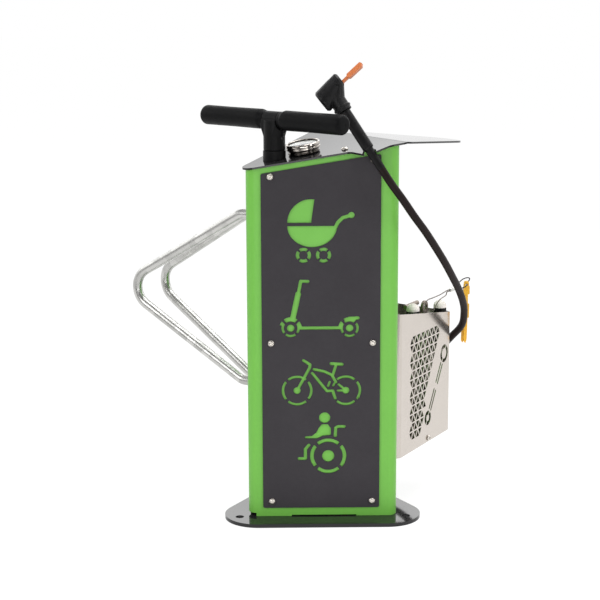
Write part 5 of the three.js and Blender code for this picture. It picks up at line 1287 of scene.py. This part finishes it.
def ferrule():
    """Pressed sleeve with three crimp grooves, closed round both strands."""
    half = FERRULE_LENGTH / 2
    radius = FERRULE_DIAMETER / 2
    profile = [(0, -half), (radius * FERRULE_END_SHARE, -half), (radius, 0.8 * MM - half)]
    for crimp in CRIMPS:
        centre = crimp * half
        profile += [(radius, centre - 1.1 * MM), (radius * CRIMP_SHARE, centre - 0.5 * MM),
                    (radius * CRIMP_SHARE, centre + 0.5 * MM), (radius, centre + 1.1 * MM)]
    profile += [(radius, half - 0.8 * MM), (radius * FERRULE_END_SHARE, half), (0, half)]

    def radius_at(point, angle):
        return point.x * (1 - FERRULE_SQUEEZE * abs(math.sin(angle)) ** 3)

    return turned("ferrule_pressed", profile, ZINC, "ferrule",
                  aimed(FERRULE_PLACE, FERRULE_OUT), 48, 0.2 * MM, radius_at)


ferrule_piece = ferrule()


# Floor, lights and surroundings
FLOOR_SIDE = 20.0
FLOOR_FRONT = -1.6
FLOOR_BACK = 30.0
FLOOR_GLOW = 1.12
FLOOR_GLOW_SHARE = 0.78
LEVEL_GLOW = 1.1
HIGH_GLOW = 2.8
TOP_GLOW = 0.6
GLOW_RISES = (0.27, 0.33)
GLOW_FALLS = (0.42, 0.52)
FRONT_TO_BACK = (-0.5, 0.3)
FRONT_GLOW = 0.2
PLAIN_LIGHT = 0.66


def floor():
    mesh = bpy.data.meshes.new("floor")
    corners = [(-FLOOR_SIDE, FLOOR_FRONT, 0), (FLOOR_SIDE, FLOOR_FRONT, 0),
               (FLOOR_SIDE, FLOOR_BACK, 0), (-FLOOR_SIDE, FLOOR_BACK, 0)]
    mesh.from_pydata(corners, [], [(0, 1, 2, 3)])
    sheet_object = in_scene("floor", mesh)
    sheet_object.location.z = -SEAT
    material = bpy.data.materials.new("pale floor")
    material.use_nodes = True
    sheet = Sheet(material.node_tree)
    material.node_tree.nodes.clear()
    path = sheet.add("ShaderNodeLightPath").outputs
    seen = sheet.math("MAXIMUM", path["Is Camera Ray"], path["Is Glossy Ray"])
    seen = sheet.math("MAXIMUM", seen, path["Is Transmission Ray"])
    diffuse = sheet.add("ShaderNodeBsdfDiffuse", {"Color": linear(240, 240, 240)})
    glow = sheet.add("ShaderNodeEmission", {"Color": PLAIN, "Strength": FLOOR_GLOW})
    soft = sheet.add(
        "ShaderNodeMixShader", {0: FLOOR_GLOW_SHARE, 1: diffuse.outputs[0], 2: glow.outputs[0]},
    )
    both = sheet.add("ShaderNodeMixShader", {0: seen, 1: diffuse.outputs[0], 2: soft.outputs[0]})
    sheet.add("ShaderNodeOutputMaterial", {"Surface": both.outputs[0]})
    mesh.materials.append(material)


def surroundings():
    world = bpy.data.worlds.new("white room")
    world.use_nodes = True
    bpy.context.scene.world = world
    sheet = Sheet(world.node_tree)
    world.node_tree.nodes.clear()
    place = sheet.add("ShaderNodeTexCoord").outputs["Generated"]
    parts = sheet.add("ShaderNodeSeparateXYZ", {"Vector": place}).outputs
    risen = sheet.math("ADD", sheet.span(parts["Z"], *GLOW_RISES, 0.0, HIGH_GLOW - LEVEL_GLOW),
                       sheet.span(parts["Z"], *GLOW_FALLS, 0.0, TOP_GLOW - HIGH_GLOW))
    back = sheet.math("ADD", risen, LEVEL_GLOW)
    mirrored = sheet.between(sheet.span(parts["Y"], *FRONT_TO_BACK), FRONT_GLOW, back)
    path = sheet.add("ShaderNodeLightPath").outputs
    light = sheet.between(path["Is Glossy Ray"], PLAIN_LIGHT, mirrored)
    direct = sheet.math("MAXIMUM", path["Is Camera Ray"], path["Is Transmission Ray"])
    shown = sheet.between(direct, light, 1.0)
    room = sheet.add("ShaderNodeBackground", {"Color": PLAIN, "Strength": shown})
    sheet.add("ShaderNodeOutputWorld", {"Surface": room.outputs[0]})


def lamp(name, place, target, size, power):
    data = bpy.data.lights.new(name, "AREA")
    data.shape = "RECTANGLE"
    data.size, data.size_y = size
    data.energy = power
    light = in_scene(name, data)
    light.location = place
    light.rotation_euler = (Vector(target) - Vector(place)).to_track_quat("-Z", "Y").to_euler()
    light.visible_camera = False


floor()
surroundings()
lamp("left softbox", (-2.6, -2.4, 2.2), (0, 0, 0.5), (1.6, 2.2), 38)
lamp("right softbox", (2.8, -2.0, 1.8), (0, 0, 0.5), (1.2, 2.2), 24)
lamp("top softbox", (0.6, 0.2, 3.2), (0.1, 0, 0.4), (2.0, 2.0), 62)
lamp("low softbox", (0.2, -2.6, 0.35), (0, 0, 0.05), (2.4, 0.5), 12)

bpy.context.scene.view_settings.view_transform = "Standard"
